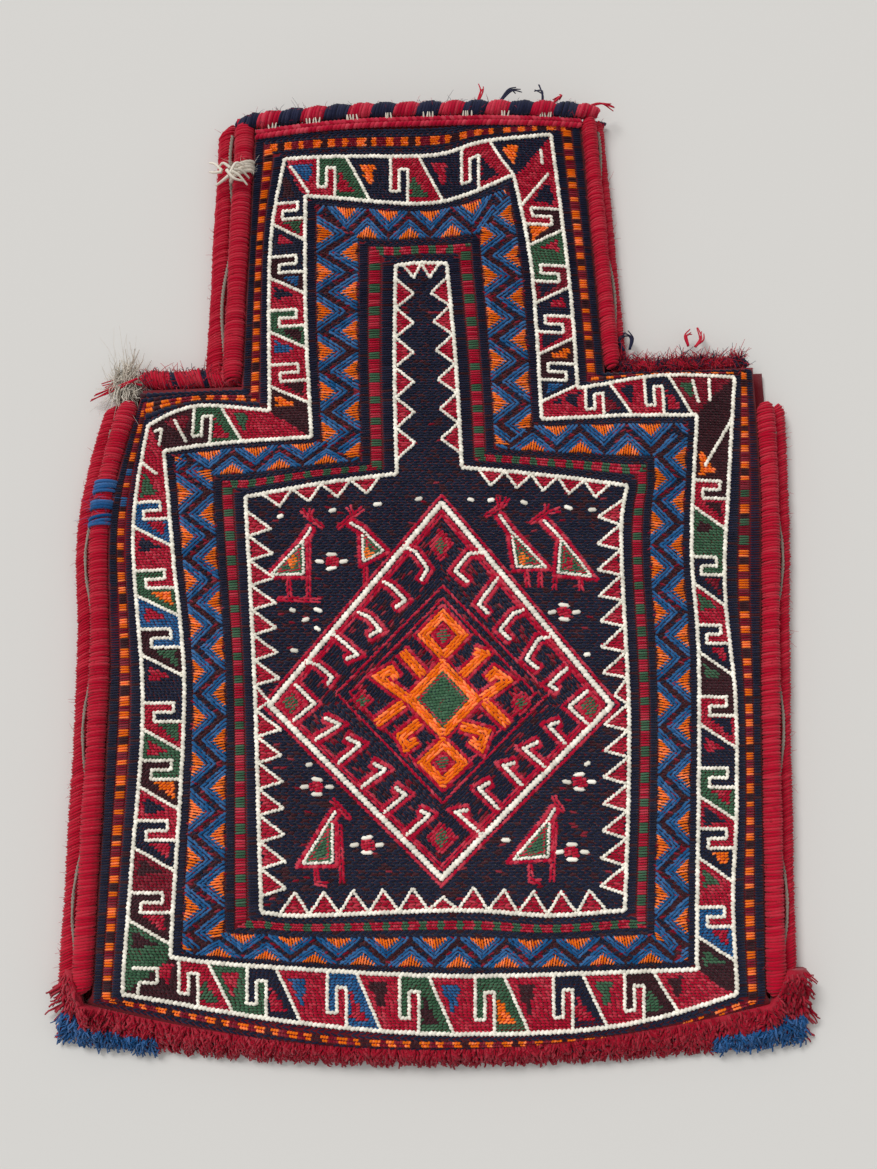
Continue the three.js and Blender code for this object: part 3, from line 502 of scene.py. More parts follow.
def stripe(levels, low, high, dye_at, grain=STRAND_LENGTH):
    """A stripe of strands along a frame: ribs across it on upright runs, rows along it on level ones."""
    for run in range(8):
        start, end = run_reach(levels, run)
        top = run_start(levels, run)
        middle = (start + end) / 2
        gap = abs(frame_at(levels[1], run, middle) - frame_at(levels[0], run, middle))
        is_upright = run in UPRIGHT_RUNS
        place = np.arange(start, end, RIB_PITCH if is_upright else grain)
        parts = max(1, round(gap * (high - low) / (5.5 if is_upright else ROW_PITCH)))
        for part in range(parts):
            share = low + (high - low) * (part + 0.5) / parts
            spot = place + (0 if is_upright else random.uniform(0, grain))
            outer = frame_at(levels[0], run, spot)
            inner = frame_at(levels[1], run, spot)
            value = outer + (inner - outer) * share
            reach = np.abs(inner - outer) * (high - low) / parts
            height = STRAND_HEIGHT * (1 + jitter(spot.shape, 0.15))
            if is_upright:
                x, y, along = value, spot, top - spot
                angle = jitter(x.shape, 0.06) + 0.05
                length, width = reach * 1.12 + 0.3, RIB_PITCH * 1.15
            else:
                x, y, along = spot, value, spot - top
                slope = np.arctan(np.gradient(value, spot))
                angle = slope + (ROW_LEAN if part % 2 else -ROW_LEAN) + jitter(x.shape, 0.08)
                length, width = 0.5 + grain * 1.25, reach * 1.2
            keep = belongs(levels, run, x, y)
            lay("fine", x, y, angle, length, width, height, 0.0, dye_at(run, along), keep)


def even_steps(path, pitch):
    """Places at an even pitch along a path in mm, with the path's direction there."""
    path = np.asarray(path, float)
    length = np.linalg.norm(np.diff(path, axis=0), axis=1).sum()
    count = max(2, round(length / pitch))
    share = (np.arange(count) + 0.5) / count
    spots = along_curve(path, share)
    ahead = along_curve(path, np.minimum(share + 0.3 / count, 1))
    back = along_curve(path, np.maximum(share - 0.3 / count, 0))
    turn = np.arctan2(*(ahead - back).T[::-1])
    return spots, turn


def rope(path, width, dye, pitch=OUTLINE_PITCH):
    """A twisted yarn along a path: short thick strands, each slanting across it."""
    spots, turn = even_steps(path, pitch)
    spots = spots + jitter(spots.shape, 0.16)
    slant = turn + 0.5 + jitter(turn.shape, 0.1)
    length = width * 0.55 + pitch * (0.8 + jitter(turn.shape, 0.08))
    height = OUTLINE_HEIGHT * (1 + jitter(turn.shape, 0.1))
    lay("thick", spots[:, 0], spots[:, 1], slant, length, width * 0.74, height, OUTLINE_LIFT, dye)


def trail(path, width, dye, lift=EDGE_LIFT, pitch=2.9, slant=0.14, inside=None):
    """Strands laid end to end along a path."""
    spots, turn = even_steps(path, pitch)
    x, y = (spots + jitter(spots.shape, 0.12)).T
    height = STRAND_HEIGHT * (1 + jitter(turn.shape, 0.15))
    keep = None if inside is None else belongs(*inside, x, y)
    angle = turn + slant + jitter(turn.shape, 0.08)
    lay("fine", x, y, angle, pitch * TRAIL_OVERLAP, width * TRAIL_COVER, height, lift, dye, keep)


def beside(path, distance, is_closed=False):
    """A path moved sideways, to the left of its direction; corners stay sharp."""
    path = np.asarray(path, float)
    into = path - np.roll(path, 1, axis=0)
    out = np.roll(path, -1, axis=0) - path
    if not is_closed:
        into[0], out[-1] = out[0], into[-1]
    into /= np.linalg.norm(into, axis=1)[:, None]
    out /= np.linalg.norm(out, axis=1)[:, None]
    normal = np.column_stack([-into[:, 1] - out[:, 1], into[:, 0] + out[:, 0]])
    normal /= np.linalg.norm(normal, axis=1)[:, None]
    stretch = np.maximum(normal[:, 1] * into[:, 0] - normal[:, 0] * into[:, 1], 0.6)
    return path + normal * (distance / stretch)[:, None]


def band(path, width, dye, lift=EDGE_LIFT, is_closed=False):
    """A broad line of several strands side by side."""
    rows = max(1, round(width / 1.45))
    for k in range(rows):
        line = beside(path, (k - (rows - 1) / 2) * width / rows, is_closed)
        line = np.vstack([line, line[:1]]) if is_closed else line
        trail(line, width / rows, dye, lift, slant=0.2 if k % 2 else -0.2)


def edge_round(path, width, edge, dye=RED, lift=EDGE_LIFT):
    """A coloured edge that runs all round a line."""
    left, right = beside(path, (width + edge) / 2), beside(path, -(width + edge) / 2)
    trail(np.vstack([left, right[::-1], left[:1]]), edge, dye, lift, pitch=2.4)


def in_polygon(x, y, polygon):
    inside = np.zeros(np.shape(x), bool)
    for (x0, y0), (x1, y1) in zip(polygon, np.roll(polygon, -1, axis=0)):
        crosses = (y0 > y) != (y1 > y)
        if y1 != y0:
            inside ^= crosses & (x < x0 + (y - y0) * (x1 - x0) / (y1 - y0))
    return inside


def hatch(polygon, angle=0.0, length=STRAND_LENGTH):
    """Places for strands inside a polygon, in rows at an angle; each row has its own start and side."""
    polygon = np.asarray(polygon, float)
    turn = np.array([[math.cos(angle), math.sin(angle)], [-math.sin(angle), math.cos(angle)]])
    low, high = (polygon @ turn.T).min(axis=0), (polygon @ turn.T).max(axis=0)
    rows = np.arange(low[1] + ROW_PITCH / 2, high[1], ROW_PITCH)
    columns = np.arange(low[0] - length, high[0] + length, length)
    starts = columns[None] + random.uniform(0, length, (len(rows), 1))
    heights = np.broadcast_to(rows[:, None], starts.shape)
    side = np.broadcast_to(np.where(np.arange(len(rows)) % 2, 1.0, -1.0)[:, None], starts.shape).ravel()
    spots = np.stack([starts.ravel(), heights.ravel()], axis=1) @ turn
    keep = in_polygon(spots[:, 0], spots[:, 1], polygon)
    return spots[keep, 0], spots[keep, 1], side[keep]


def lay_rows(x, y, dye, angle, lift=0.0, length=STRAND_LENGTH, width=ROW_PITCH * 1.25):
    angle = angle + jitter(x.shape, 0.1)
    height = STRAND_HEIGHT * (1 + jitter(x.shape, 0.16))
    x, y = x + jitter(x.shape, 0.2), y + jitter(y.shape, 0.12)
    lay("fine", x, y, angle, length * 1.35, width, height, lift, dye)


def patch(polygon, dye, angle=0.0, lift=PATCH_LIFT):
    """A small area of one dye, laid closely over the ground."""
    x, y, side = hatch(polygon, angle, 1.7)
    lay_rows(x, y, dye, angle + 0.2 * side, lift, 1.9, ROW_PITCH * 1.7)


def mottled(x, y, dyes, amounts):
    """The first dye with uneven streaks of the others."""
    drift = 0.5 + 0.25 * np.sin(x / 7 + 2 * np.sin(y / 19)) + 0.25 * np.sin(y / 5 - x / 23)
    chance = random.random(x.shape)
    dye = np.full(x.shape, dyes[0])
    reach = np.zeros(x.shape)
    for other, amount in zip(dyes[1:], amounts):
        dye[(chance >= reach) & (chance < reach + 2 * amount * drift)] = other
        reach += 2 * amount * drift
    return dye


# Guard stripes and frames
GUARD = (EDGE, OUTER)
HOOKS = (OUTER, INNER)
ZIGZAG = (INNER, FIELD)
stripe(GUARD, 0.0, 0.3, navy_dye)
stripe(GUARD, 0.3, 0.62, guard_dye, 1.35)
stripe(GUARD, 0.62, 1.0, navy_dye)
stripe(ZIGZAG, 0.0, 0.12, navy_dye)
stripe(ZIGZAG, 0.59, 0.70, navy_dye)
stripe(ZIGZAG, 0.70, 0.84, barber_dye, 1.35)
stripe(ZIGZAG, 0.84, 1.0, navy_dye)
for level, dye in ((OUTER, BORDER_IVORY), (INNER, BORDER_IVORY), (FIELD, FIELD_IVORY)):
    for line in frame_lines[level]:
        rope(line, 2.7, dye)

# Hook band: ivory hooks and diagonals divide it into cells, each with a ground and a small triangle.
# Per run: the places where its hooks start, in mm from its start, then the cells from the first one on.
HOOK_STARTS = {
    MOUTH_RUN: [13, 53, 92],
    RIGHT_NECK: [32, 65, 94, 121],
    RIGHT_SHOULDER: [14, 46],
    RIGHT_RUN: [47, 88, 124, 161, 197, 227, 265],
    FOOT_RUN: [16, 49.5, 89, 124.5, 161.5, 200, 235],
    LEFT_RUN: [35, 72, 103, 141, 170, 200, 235],
    LEFT_SHOULDER: [20],
    LEFT_NECK: [15, 46, 77, 108],
}
HOOK_PITCH = {MOUTH_RUN: 40, RIGHT_NECK: 31, RIGHT_SHOULDER: 34, RIGHT_RUN: 36, FOOT_RUN: 37, LEFT_RUN: 34,
              LEFT_SHOULDER: 37, LEFT_NECK: 31}
HOOK_CELLS = {
    MOUTH_RUN: [(RED, BLUE), (GREEN, RED), (NAVY, ORANGE), (RED, GREEN), (NAVY, RED), (RED, NAVY),
                (NAVY, ORANGE)],
    RIGHT_NECK: [(RED, NAVY), (BROWN, ORANGE), (GREEN, RED), (DARK_RED, NAVY), (NAVY, RED), (RED, NAVY),
                 (BROWN, ORANGE), (NAVY, BLUE), (RED, NAVY)],
    RIGHT_SHOULDER: [(RED, NAVY), (NAVY, DARK_RED), (RED, NAVY), (NAVY, RED), (DARK_RED, GREEN)],
    RIGHT_RUN: [(BROWN, ORANGE), (RED, BROWN), (GREEN, BROWN), (NAVY, DARK_RED), (RED, GREEN), (NAVY, RED),
                (BROWN, GREEN), (RED, NAVY), (NAVY, RED), (GREEN, RED), (RED, NAVY), (NAVY, ORANGE),
                (RED, GREEN),
                (BLUE, RED), (BROWN, GREEN)],
    FOOT_RUN: [(BROWN, RED), (RED, GREEN), (GREEN, RED), (NAVY, RED), (RED, BLUE), (BLUE, RED), (RED, BROWN),
               (GREEN, BROWN), (RED, BLUE), (GREEN, ORANGE), (RED, BROWN), (NAVY, RED), (RED, GREEN),
               (BROWN, GREEN), (RED, BROWN)],
    LEFT_RUN: [(RED, GREEN), (BLUE, RED), (RED, NAVY), (GREEN, ORANGE), (BLUE, RED), (BROWN, GREEN),
               (NAVY, RED),
               (RED, GREEN), (GREEN, RED), (BROWN, ORANGE), (RED, NAVY), (NAVY, RED), (DARK_RED, BROWN),
               (BROWN, RED), (GREEN, BROWN)],
    LEFT_SHOULDER: [(BROWN, DARK_RED), (GREEN, RED), (RED, GREEN)],
    LEFT_NECK: [(NAVY, BROWN), (RED, GREEN), (NAVY, RED), (BROWN, BLUE), (RED, NAVY), (GREEN, BROWN),
                (RED, BLUE),
                (RED, BROWN), (BROWN, ORANGE)],
}
HOOK_TALL = 9.4
HOOK_NEAR, HOOK_FAR = 0.28, 0.75
CORNER_LINES = [
    [(58.7, 228.0), (59.7, 219.0)],
    [(62.9, 213.6), (47.8, 194.1)],
    [(147.6, 96.0), (147.0, 82.4)],
    [(138.6, 95.5), (141.0, 81.5)],
    [(158.3, 72.5), (143.0, 46.7)],
    [(-149.4, 66.5), (-145.2, 67.5), (-146.5, 58.0)],
    [(-138.6, 72.4), (-131.5, 59.5)],
    [(-155.4, 49.5), (-146.8, 42.4)],
    [(-148.7, -208.5), (-135.9, -208.5), (-136.1, -215.6), (-145.0, -215.1), (-145.8, -221.3)],
    [(-79.9, 217.8), (-69.1, 201.1)],
]


def from_left(run, share):
    """A share counted from the band's left or top side, which is the inner one on two runs."""
    return 1 - share if run in (RIGHT_RUN, FOOT_RUN) else share


cloth_box = [(-172, -244), (172, -244), (172, 244), (-172, 244)]
brick_x, brick_y, _ = hatch(cloth_box, 0.0, 2.1)
for run, starts in HOOK_STARTS.items():
    lead, rise = 0.38 * HOOK_PITCH[run], 0.34 * HOOK_PITCH[run]
    keep = belongs(HOOKS, run, brick_x, brick_y)
    x, y = brick_x[keep], brick_y[keep]
    across = from_left(run, share_between(HOOKS, run, x, y))
    along = run_start(HOOKS, run) - y if run in UPRIGHT_RUNS else x - run_start(HOOKS, run)
    cell = np.zeros(x.shape, int)
    first = starts[0]
    small = in_polygon(across, along, [(0.16, first - 17), (0.16, first - 3), (0.66, first - 5)])
    for start in starts:
        since = along - start
        past_hook = (since > HOOK_TALL) | ((since > 0) & (since <= HOOK_TALL / 2) & (across < HOOK_FAR))
        past_hook |= (since > HOOK_TALL / 2) & (since <= HOOK_TALL) & (across < HOOK_NEAR)
        cell += past_hook.astype(int) + (since > lead + rise * across).astype(int)
        low, high = HOOK_TALL + 1.6, HOOK_TALL + 1.6 + 0.24 * HOOK_PITCH[run]
        small |= in_polygon(across, since, [(0.34, low), (0.84, low), (0.84, high)])
        high = lead + rise + 0.3
        corners = [(0.17, lead + 0.5 * rise), (0.17, high + 0.06 * HOOK_PITCH[run]), (0.7, high)]
        small |= in_polygon(across, since, corners)
    pairs = np.array(HOOK_CELLS[run])
    dye = np.where(small, pairs[cell, 1], pairs[cell, 0])
    lay_rows(x, y, dye, np.where(cell % 2, 0.4, -0.4), length=2.2)
    for start in starts:
        steps = [(0, 0), (0, HOOK_FAR), (0.5, HOOK_FAR), (0.5, HOOK_NEAR), (1, HOOK_NEAR), (1, 1)]
        hook = [band_spot(HOOKS, run, start + HOOK_TALL * a, from_left(run, s)) for a, s in steps]
        rope(hook, 2.2, BORDER_IVORY, 1.9)
        shares = (0.0, 0.5, 1.0)
        diagonal = [band_spot(HOOKS, run, start + lead + rise * s, from_left(run, s)) for s in shares]
        rope(diagonal, 2.1, BORDER_IVORY, 1.9)
for path in CORNER_LINES:
    rope(path, 2.2, BORDER_IVORY, 1.9)

# Zigzag band: orange triangles on both sides in turn, blue strands in a V round each, brown between them
ZIGZAG_PERIOD = 24.0
under_x, under_y, under_side = hatch(cloth_box)
ZIGZAG_LOW, ZIGZAG_HIGH = 0.12, 0.59
ORANGE_HALF, ORANGE_DEEP = 0.25, 0.38
V_HALF, V_DEEP = 0.45, 0.68
for run in range(8):
    share = share_between(ZIGZAG, run, under_x, under_y)
    keep = belongs(ZIGZAG, run, under_x, under_y) & (share > ZIGZAG_LOW) & (share < ZIGZAG_HIGH)
    x, y = under_x[keep], under_y[keep]
    lay_rows(x, y, mottled(x, y, (BROWN, NAVY, DARK_RED), (0.28, 0.16)), 0.45 * under_side[keep])
    low, high = run_reach(ZIGZAG, run)
    count = max(1, round((high - low) / ZIGZAG_PERIOD))
    period = (high - low) / count
    start = run_start(ZIGZAG, run) - high if run in UPRIGHT_RUNS else low - run_start(ZIGZAG, run)
    for k in range(2 * count + 1):
        middle = start + k * period / 2

        def spot(along, deep):
            deep = 1 - deep if k % 2 else deep
            return band_spot(ZIGZAG, run, along, ZIGZAG_LOW + (ZIGZAG_HIGH - ZIGZAG_LOW) * deep)

        for level in (0.62, 0.81, 1.0):
            for side in (-1, 1):
                arm = [spot(middle + side * V_HALF * period * level, 0.03), spot(middle, V_DEEP * level)]
                trail(arm, 1.5, BLUE, 0.3, 3.4, 0.1 * side, (ZIGZAG, run))
        half = ORANGE_HALF * period
        for place in np.arange(-half + 0.7, half, 1.35):
            deep = ORANGE_DEEP * (1 - abs(place) / half) + 0.1
            ends = np.array([spot(middle + place - 0.5, 0.02), spot(middle + place + 0.5, deep)])
            x, y = ends.mean(axis=0)
            reach = np.linalg.norm(ends[1] - ends[0])
            angle = math.atan2(*(ends[1] - ends[0])[::-1])
            keep = belongs(ZIGZAG, run, np.array(x), np.array(y))
            lay("fine", x, y, angle, reach * 1.1 + 0.6, 1.6, STRAND_HEIGHT * 1.1, 0.35, ORANGE, keep)

# Field: navy ground with brown streaks, and red teeth with an ivory edge all round it
TEETH = {
    MOUTH_RUN: (10.0, 8.5, 0.5, 4.0),
    RIGHT_NECK: (16.6, 10.0, 0.5, 8.0),
    RIGHT_SHOULDER: (14.4, 8.5, 0.5, 9.0),
    RIGHT_RUN: (13.4, 12.4, 0.78, 8.0),
    FOOT_RUN: (14.6, 11.0, 0.5, 9.0),
    LEFT_RUN: (13.4, 12.4, 0.78, 8.0),
    LEFT_SHOULDER: (14.4, 8.5, 0.5, 9.0),
    LEFT_NECK: (16.6, 10.0, 0.5, 8.0),
}
TOOTH_CLEARANCE = 10.0
MEDALLION_TIPS = np.array([(3.8, 25.7), (90.0, -79.6), (3.7, -165.1), (-83.5, -79.6)])
MEDALLION_MIDDLE = np.array([4.3, -78.6])
field_polygon = np.vstack([line[:-1] for line in frame_lines[FIELD]])
x, y, side = hatch(field_polygon)
keep = ~in_polygon(x, y, MEDALLION_TIPS)
x, y, side = x[keep], y[keep], side[keep]
dye = mottled(x, y, (FIELD_NAVY, BROWN, DARK_RED), (0.12, 0.02))
for run, (pitch, depth, tip, margin) in TEETH.items():
    line = frame_lines[FIELD][run]
    length = np.linalg.norm(np.diff(line, axis=0), axis=1).sum()
    count = round((length - 2 * margin) / pitch)
    tip = 1 - tip if run in (LEFT_RUN, LEFT_NECK, FOOT_RUN) else tip
    edge = [line[0]]
    for k in range(count):
        marks = (margin + (length - 2 * margin) * (k + np.array([0, tip, 1])) / count) / length
        spots = along_curve(line, marks)
        before, after = np.maximum(marks - 0.01, 0), np.minimum(marks + 0.01, 1)
        ahead = along_curve(line, after) - along_curve(line, before)
        ahead /= np.linalg.norm(ahead, axis=1)[:, None]
        tooth = spots + np.column_stack([ahead[:, 1], -ahead[:, 0]]) * np.array([[0.4], [depth], [0.4]])
        edge.append(tooth[0])
        if np.linalg.norm(MEDALLION_TIPS - tooth[1], axis=1).min() < TOOTH_CLEARANCE:
            tooth[1] = 0.55 * tooth[1] + 0.225 * (tooth[0] + tooth[2])
        dye[in_polygon(x, y, tooth)] = RED
        edge.append(tooth[1])
    rope(edge[1:] + [tooth[2]], 1.9, FIELD_IVORY, 1.8)
lay_rows(x, y, dye, 0.2 * side)

# Medallion: a hooked diamond. Its ground runs along its four edges, and every line has a red edge.
HOOK_LINES = [
    [(-16.0, 2.6), (-9.7, -0.6), (-3.4, -9.6), (-7.1, -15.9)],
    [(-26.7, -15.9), (-22.1, -18.5), (-14.8, -25.9), (-20.4, -30.0)],
    [(-39.5, -31.6), (-33.3, -34.7), (-27.6, -41.5), (-33.7, -44.6)],
    [(-52.2, -43.0), (-45.0, -48.7), (-39.2, -53.9), (-45.4, -56.5)],
    [(-65.3, -57.0), (-59.1, -59.5), (-51.9, -65.7), (-54.4, -69.3)],
    [(-71.2, -68.8), (-60.8, -78.9), (-71.8, -88.1)],
    [(-60.5, -97.6), (-47.5, -89.6), (-55.6, -86.0)],
    [(-48.7, -109.1), (-37.2, -99.6), (-44.3, -96.1)],
    [(-37.0, -121.1), (-24.5, -112.1), (-31.0, -108.6)],
    [(-25.3, -133.4), (-14.3, -124.5), (-19.9, -120.6)],
    [(-14.2, -144.7), (-2.3, -134.4), (-7.3, -132.0)],
    [(25.7, -1.1), (17.9, -1.6), (10.6, -10.6), (17.8, -17.0)],
    [(33.3, -13.8), (22.9, -28.0), (28.0, -33.2)],
    [(46.6, -30.6), (40.4, -33.2), (33.6, -41.5), (39.2, -46.7)],
    [(59.8, -45.1), (53.6, -45.6), (46.8, -56.5), (53.4, -61.6)],
    [(68.2, -60.6), (58.4, -69.3), (62.9, -72.3)],
    [(78.2, -72.3), (68.4, -80.5), (77.8, -89.6)],
    [(66.5, -99.6), (58.0, -90.1), (63.7, -88.1)],
    [(56.2, -111.1), (45.2, -101.6), (52.9, -98.1)],
    [(44.5, -120.1), (35.0, -110.1), (41.1, -108.6)],
    [(32.8, -132.0), (22.4, -121.6), (28.4, -118.1)],
    [(23.7, -144.2), (10.8, -132.9), (17.3, -132.0)],
]


def diamond(x, y, half_x, half_y):
    return [(x, y + half_y), (x + half_x, y), (x, y - half_y), (x - half_x, y)]


inner_diamond = diamond(4.3, -75.5, 49.0, 52.0)
for tip, end in zip(MEDALLION_TIPS, np.roll(MEDALLION_TIPS, -1, axis=0)):
    angle = math.atan2(*(end - tip)[::-1])
    x, y, side = hatch([tip, end, MEDALLION_MIDDLE], angle)
    dye = mottled(x, y, (FIELD_NAVY, BROWN, DARK_RED), (0.06, 0.12))
    inside = in_polygon(x, y, np.array(inner_diamond))
    dye[inside] = mottled(x, y, (FIELD_NAVY, DARK_RED, RED), (0.14, 0.04))[inside]
    lay_rows(x, y, dye, angle + 0.16 * side)
rim = np.vstack([MEDALLION_TIPS, MEDALLION_TIPS[:1]])
for reach in (-2.7, 2.7, 4.3):
    line = beside(MEDALLION_TIPS, reach * -1, True)
    trail(np.vstack([line, line[:1]]), 1.9, RED)
rope(rim, 3.6, MEDALLION_IVORY)
for path in HOOK_LINES:
    edge_round(path, 2.4, 2.5)
    rope(path, 2.5, MEDALLION_IVORY, 1.9)
for half_x, half_y, width in ((54.0, 55.0, 1.5), (47.0, 48.6, 1.5)):
    band(diamond(4.3, -73.6, half_x, half_y), width, RED, is_closed=True)
SPOTS = [(3.3, 3.1, 6.8, 9.0), (3.7, -145.7, 8.2, 8.2), (-36.4, -77.4, 5.8, 5.8), (44.0, -78.9, 6.2, 5.8)]
for x, y, wide, tall in SPOTS:
    patch(diamond(x, y, wide, tall), RED, 0.8)
    patch(diamond(x, y, 0.48 * wide, 0.55 * tall), GREEN, 0.3, MARK_LIFT)
for x, y in ((-72.3, -78.7), (79.0, -80.5)):
    patch(diamond(x, y, 7.2, 7.6), RED, 0.8)
    patch(diamond(x, y, 4.6, 5.4), GREEN, 0.2, MARK_LIFT)

# Figure in the middle of the medallion: a green diamond with an orange edge, hooked arms and two
# lesser diamonds above and below it
ARMS = [
    [(-5.4, -64.7), (-16.2, -52.8)],
    [(-13.5, -76.4), (-28.4, -65.6), (-22.3, -62.1), (-19.2, -66.2)],
    [(-15.6, -78.9), (-29.2, -89.1)],
    [(-7.4, -88.1), (-16.5, -95.6), (-13.9, -100.6), (-8.9, -97.1)],
    [(14.0, -64.7), (25.3, -53.9), (20.6, -52.6)],
    [(24.1, -76.4), (37.0, -67.2), (30.9, -63.1), (27.4, -66.9)],
    [(25.2, -77.9), (37.3, -89.6)],
    [(13.4, -90.1), (26.1, -93.6), (23.5, -100.6), (18.4, -97.1)],
]
for path in ARMS:
    edge_round(path, 4.6, 2.2)
    band(path, 4.6, ORANGE, MARK_LIFT)
for y, half_x, half_y, line in ((-76.7, 16.6, 17.4, 4.6), (-44.1, 10.2, 10.8, 4.4), (-108.6, 10.0, 9.6, 4.4)):
    ring = diamond(4.4, y, half_x, half_y)
    for reach in (line / 2 + 1.0, -line / 2 - 1.0):
        band(beside(ring, reach, True), 2.0, RED, is_closed=True)
    band(ring, line, ORANGE, MARK_LIFT, True)
patch(diamond(4.4, -76.7, 13.0, 14.8), GREEN, 0.1)
for y in (-44.1, -108.6):
    patch(diamond(4.4, y, 6.0, 6.4), RED, 0.1)
    patch(diamond(4.4, y, 3.6, 4.2), GREEN, 0.1, MARK_LIFT)

# Birds: each an ivory line from the head round a green body, in a thick red edge with crest, beak and legs
BIRD_BODIES = [
    [(-64.0, 12.7), (-68.6, 5.3), (-84.3, -12.2), (-67.7, -11.7), (-68.6, 6.3)],
    [(-44.2, 15.4), (-37.9, 11.7), (-26.8, 0.2), (-36.7, -5.3), (-37.4, 9.0)],
    [(33.6, 19.2), (40.3, 9.5), (57.3, -8.5), (42.7, -8.5), (40.3, 7.9)],
    [(56.6, 16.5), (66.3, 5.8), (81.0, -13.3), (64.0, -11.2), (65.8, 5.8)],
    [(-48.9, -132.4), (-51.8, -136.9), (-64.9, -157.9), (-50.5, -157.4), (-50.8, -137.9)],
    [(60.4, -131.0), (56.8, -136.9), (39.6, -155.9), (56.5, -154.5), (57.3, -137.9)],
]
BIRD_SPOTS = [(-73.4, -5.4, ORANGE), (-34.4, -1.5, ORANGE), (45.6, -4.4, ORANGE), (69.4, -7.2, RED)]
BIRD_REDS = [
    [(-57.8, 12.7), (-66.2, 18.6), (-69.4, 22.0)],
    [(-65.7, 17.0), (-64.0, 22.5)],
    [(-65.4, 8.0), (-64.9, -24.3)],
    [(-75.4, -14.8), (-74.7, -24.3)],
    [(-80.9, -24.8), (-58.7, -25.9)],
    [(-50.4, 12.3), (-42.7, 19.2), (-44.9, 24.0)],
    [(-42.0, 19.0), (-37.2, 23.2)],
    [(-35.6, -8.5), (-35.5, -19.1)],
    [(26.4, 18.2), (34.2, 23.5), (33.2, 28.4)],
    [(35.4, 23.0), (38.3, 28.0)],
    [(47.4, -11.6), (48.3, -19.1)],
    [(54.6, -11.6), (54.5, -19.1)],
    [(49.8, 14.5), (58.2, 20.8), (58.6, 25.0)],
    [(59.4, 20.0), (65.8, 22.0)],
    [(62.4, -13.7), (61.7, -20.6)],
    [(75.3, -15.8), (75.7, -20.6)],
    [(-41.8, -136.5), (-48.4, -129.4), (-51.3, -126.8)],
    [(-47.2, -138.9), (-45.4, -167.5)],
    [(-58.4, -160.8), (-57.8, -167.5), (-52.8, -168.2)],
    [(64.9, -132.9), (60.9, -128.0), (59.8, -124.8)],
    [(60.4, -137.9), (58.3, -166.8)],
    [(47.5, -158.9), (47.9, -166.4), (52.8, -167.1)],
]
for body in BIRD_BODIES:
    patch(body[1:], GREEN, 0.3)
    edge_round(body, 1.7, 2.6)
for x, y, dye in BIRD_SPOTS:
    patch(diamond(x, y, 3.0, 3.8), dye, 0.2, MARK_LIFT + 0.1)
for path in BIRD_REDS:
    band(path, 3.2, RED)
for body in BIRD_BODIES:
    rope(body, 2.1, MOTIF_IVORY, 1.8)

# Ivory dashes and crosses scattered over the navy ground
DASHES = [(-53.2, 21.8), (-80.4, 18.6), (-29.7, 25.1), (-8.2, 27.8), (19.0, 27.2), (29.5, 27.0), (46.8, 25.6),
          (69.8, 22.9), (82.3, 21.8), (-73.0, -30.8), (-59.9, -30.8), (-66.2, -35.8), (-60.0, -40.5),
          (-71.6, -51.8),
          (-62.8, -109.6), (76.9, -109.1), (35.7, -146.7), (78.1, -53.9)]
CROSSES = [(-53.3, -5.3), (66.7, -32.1), (-58.6, -120.6), (-33.4, -149.1), (72.7, -118.1), (68.5, -152.5)]
for x, y in DASHES:
    lay("thick", x, y, jitter(None, 0.5), 4.6 + jitter(None, 0.8), 2.2, 1.3, OUTLINE_LIFT, MOTIF_IVORY)
for x, y in CROSSES:
    patch([(x - 3.4, y - 2.4), (x + 3.4, y - 2.4), (x + 3.4, y + 2.4), (x - 3.4, y + 2.4)], RED, 0.2)
    for a, b, long in ((-6.2, 0, 5.2), (6.2, 0, 5.2), (0, 3.6, 6.4), (0, -3.6, 6.4)):
        lay("thick", x + a, y + b, jitter(None, 0.2), long, 2.2, 1.3, OUTLINE_LIFT, MOTIF_IVORY)

# A strand is a closed grain: a long six-sided foot and a rounded ridge, with a shoulder on thick ones
GRAIN_FOOT = np.array([(-0.5, 0), (-0.3, -0.5), (0.3, -0.5), (0.5, 0), (0.3, 0.5), (-0.3, 0.5)])
FINE_POINTS = np.vstack([np.column_stack([GRAIN_FOOT, np.zeros(6)]), [(-0.28, 0, 1), (0.28, 0, 1)]])
FINE_QUADS = np.array([(1, 2, 7, 6), (4, 5, 6, 7), (0, 5, 4, 3), (0, 3, 2, 1)])
FINE_TRIS = np.array([(0, 1, 6), (5, 0, 6), (2, 3, 7), (3, 4, 7)])
THICK_POINTS = np.vstack(
    [
        np.column_stack([GRAIN_FOOT * 0.94, np.zeros(6)]),
        np.column_stack([GRAIN_FOOT, np.full(6, 0.55)]),
        [(-0.24, 0, 1), (0.24, 0, 1)],
    ]
)
THICK_QUADS = np.array([(k, (k + 1) % 6, 6 + (k + 1) % 6, 6 + k) for k in range(6)]
                       + [(7, 8, 13, 12), (10, 11, 12, 13), (0, 5, 4, 3), (0, 3, 2, 1)])
THICK_TRIS = np.array([(6, 7, 12), (11, 6, 12), (8, 9, 13), (9, 10, 13)])


def strand_mesh(rows, points, quads, tris):
    """Every strand of a list as one mesh, each lying on the ground along its own direction."""
    x, y, angle, length, width, height, lift = rows[:, :7].T
    along = points[:, 0][None] * length[:, None]
    side = points[:, 1][None] * width[:, None]
    cos, sin = np.cos(angle)[:, None], np.sin(angle)[:, None]
    spot_x = x[:, None] + along * cos - side * sin
    spot_y = y[:, None] + along * sin + side * cos
    spot_z = ground_z(spot_x, spot_y) - 0.25 + lift[:, None] + points[:, 2][None] * (height[:, None] + 0.25)
    base = (np.arange(len(rows)) * len(points))[:, None, None]
    spots = np.stack([spot_x, spot_y, spot_z], axis=-1).reshape(-1, 3)
    return spots, (base + quads[None]).reshape(-1, 4), (base + tris[None]).reshape(-1, 3)


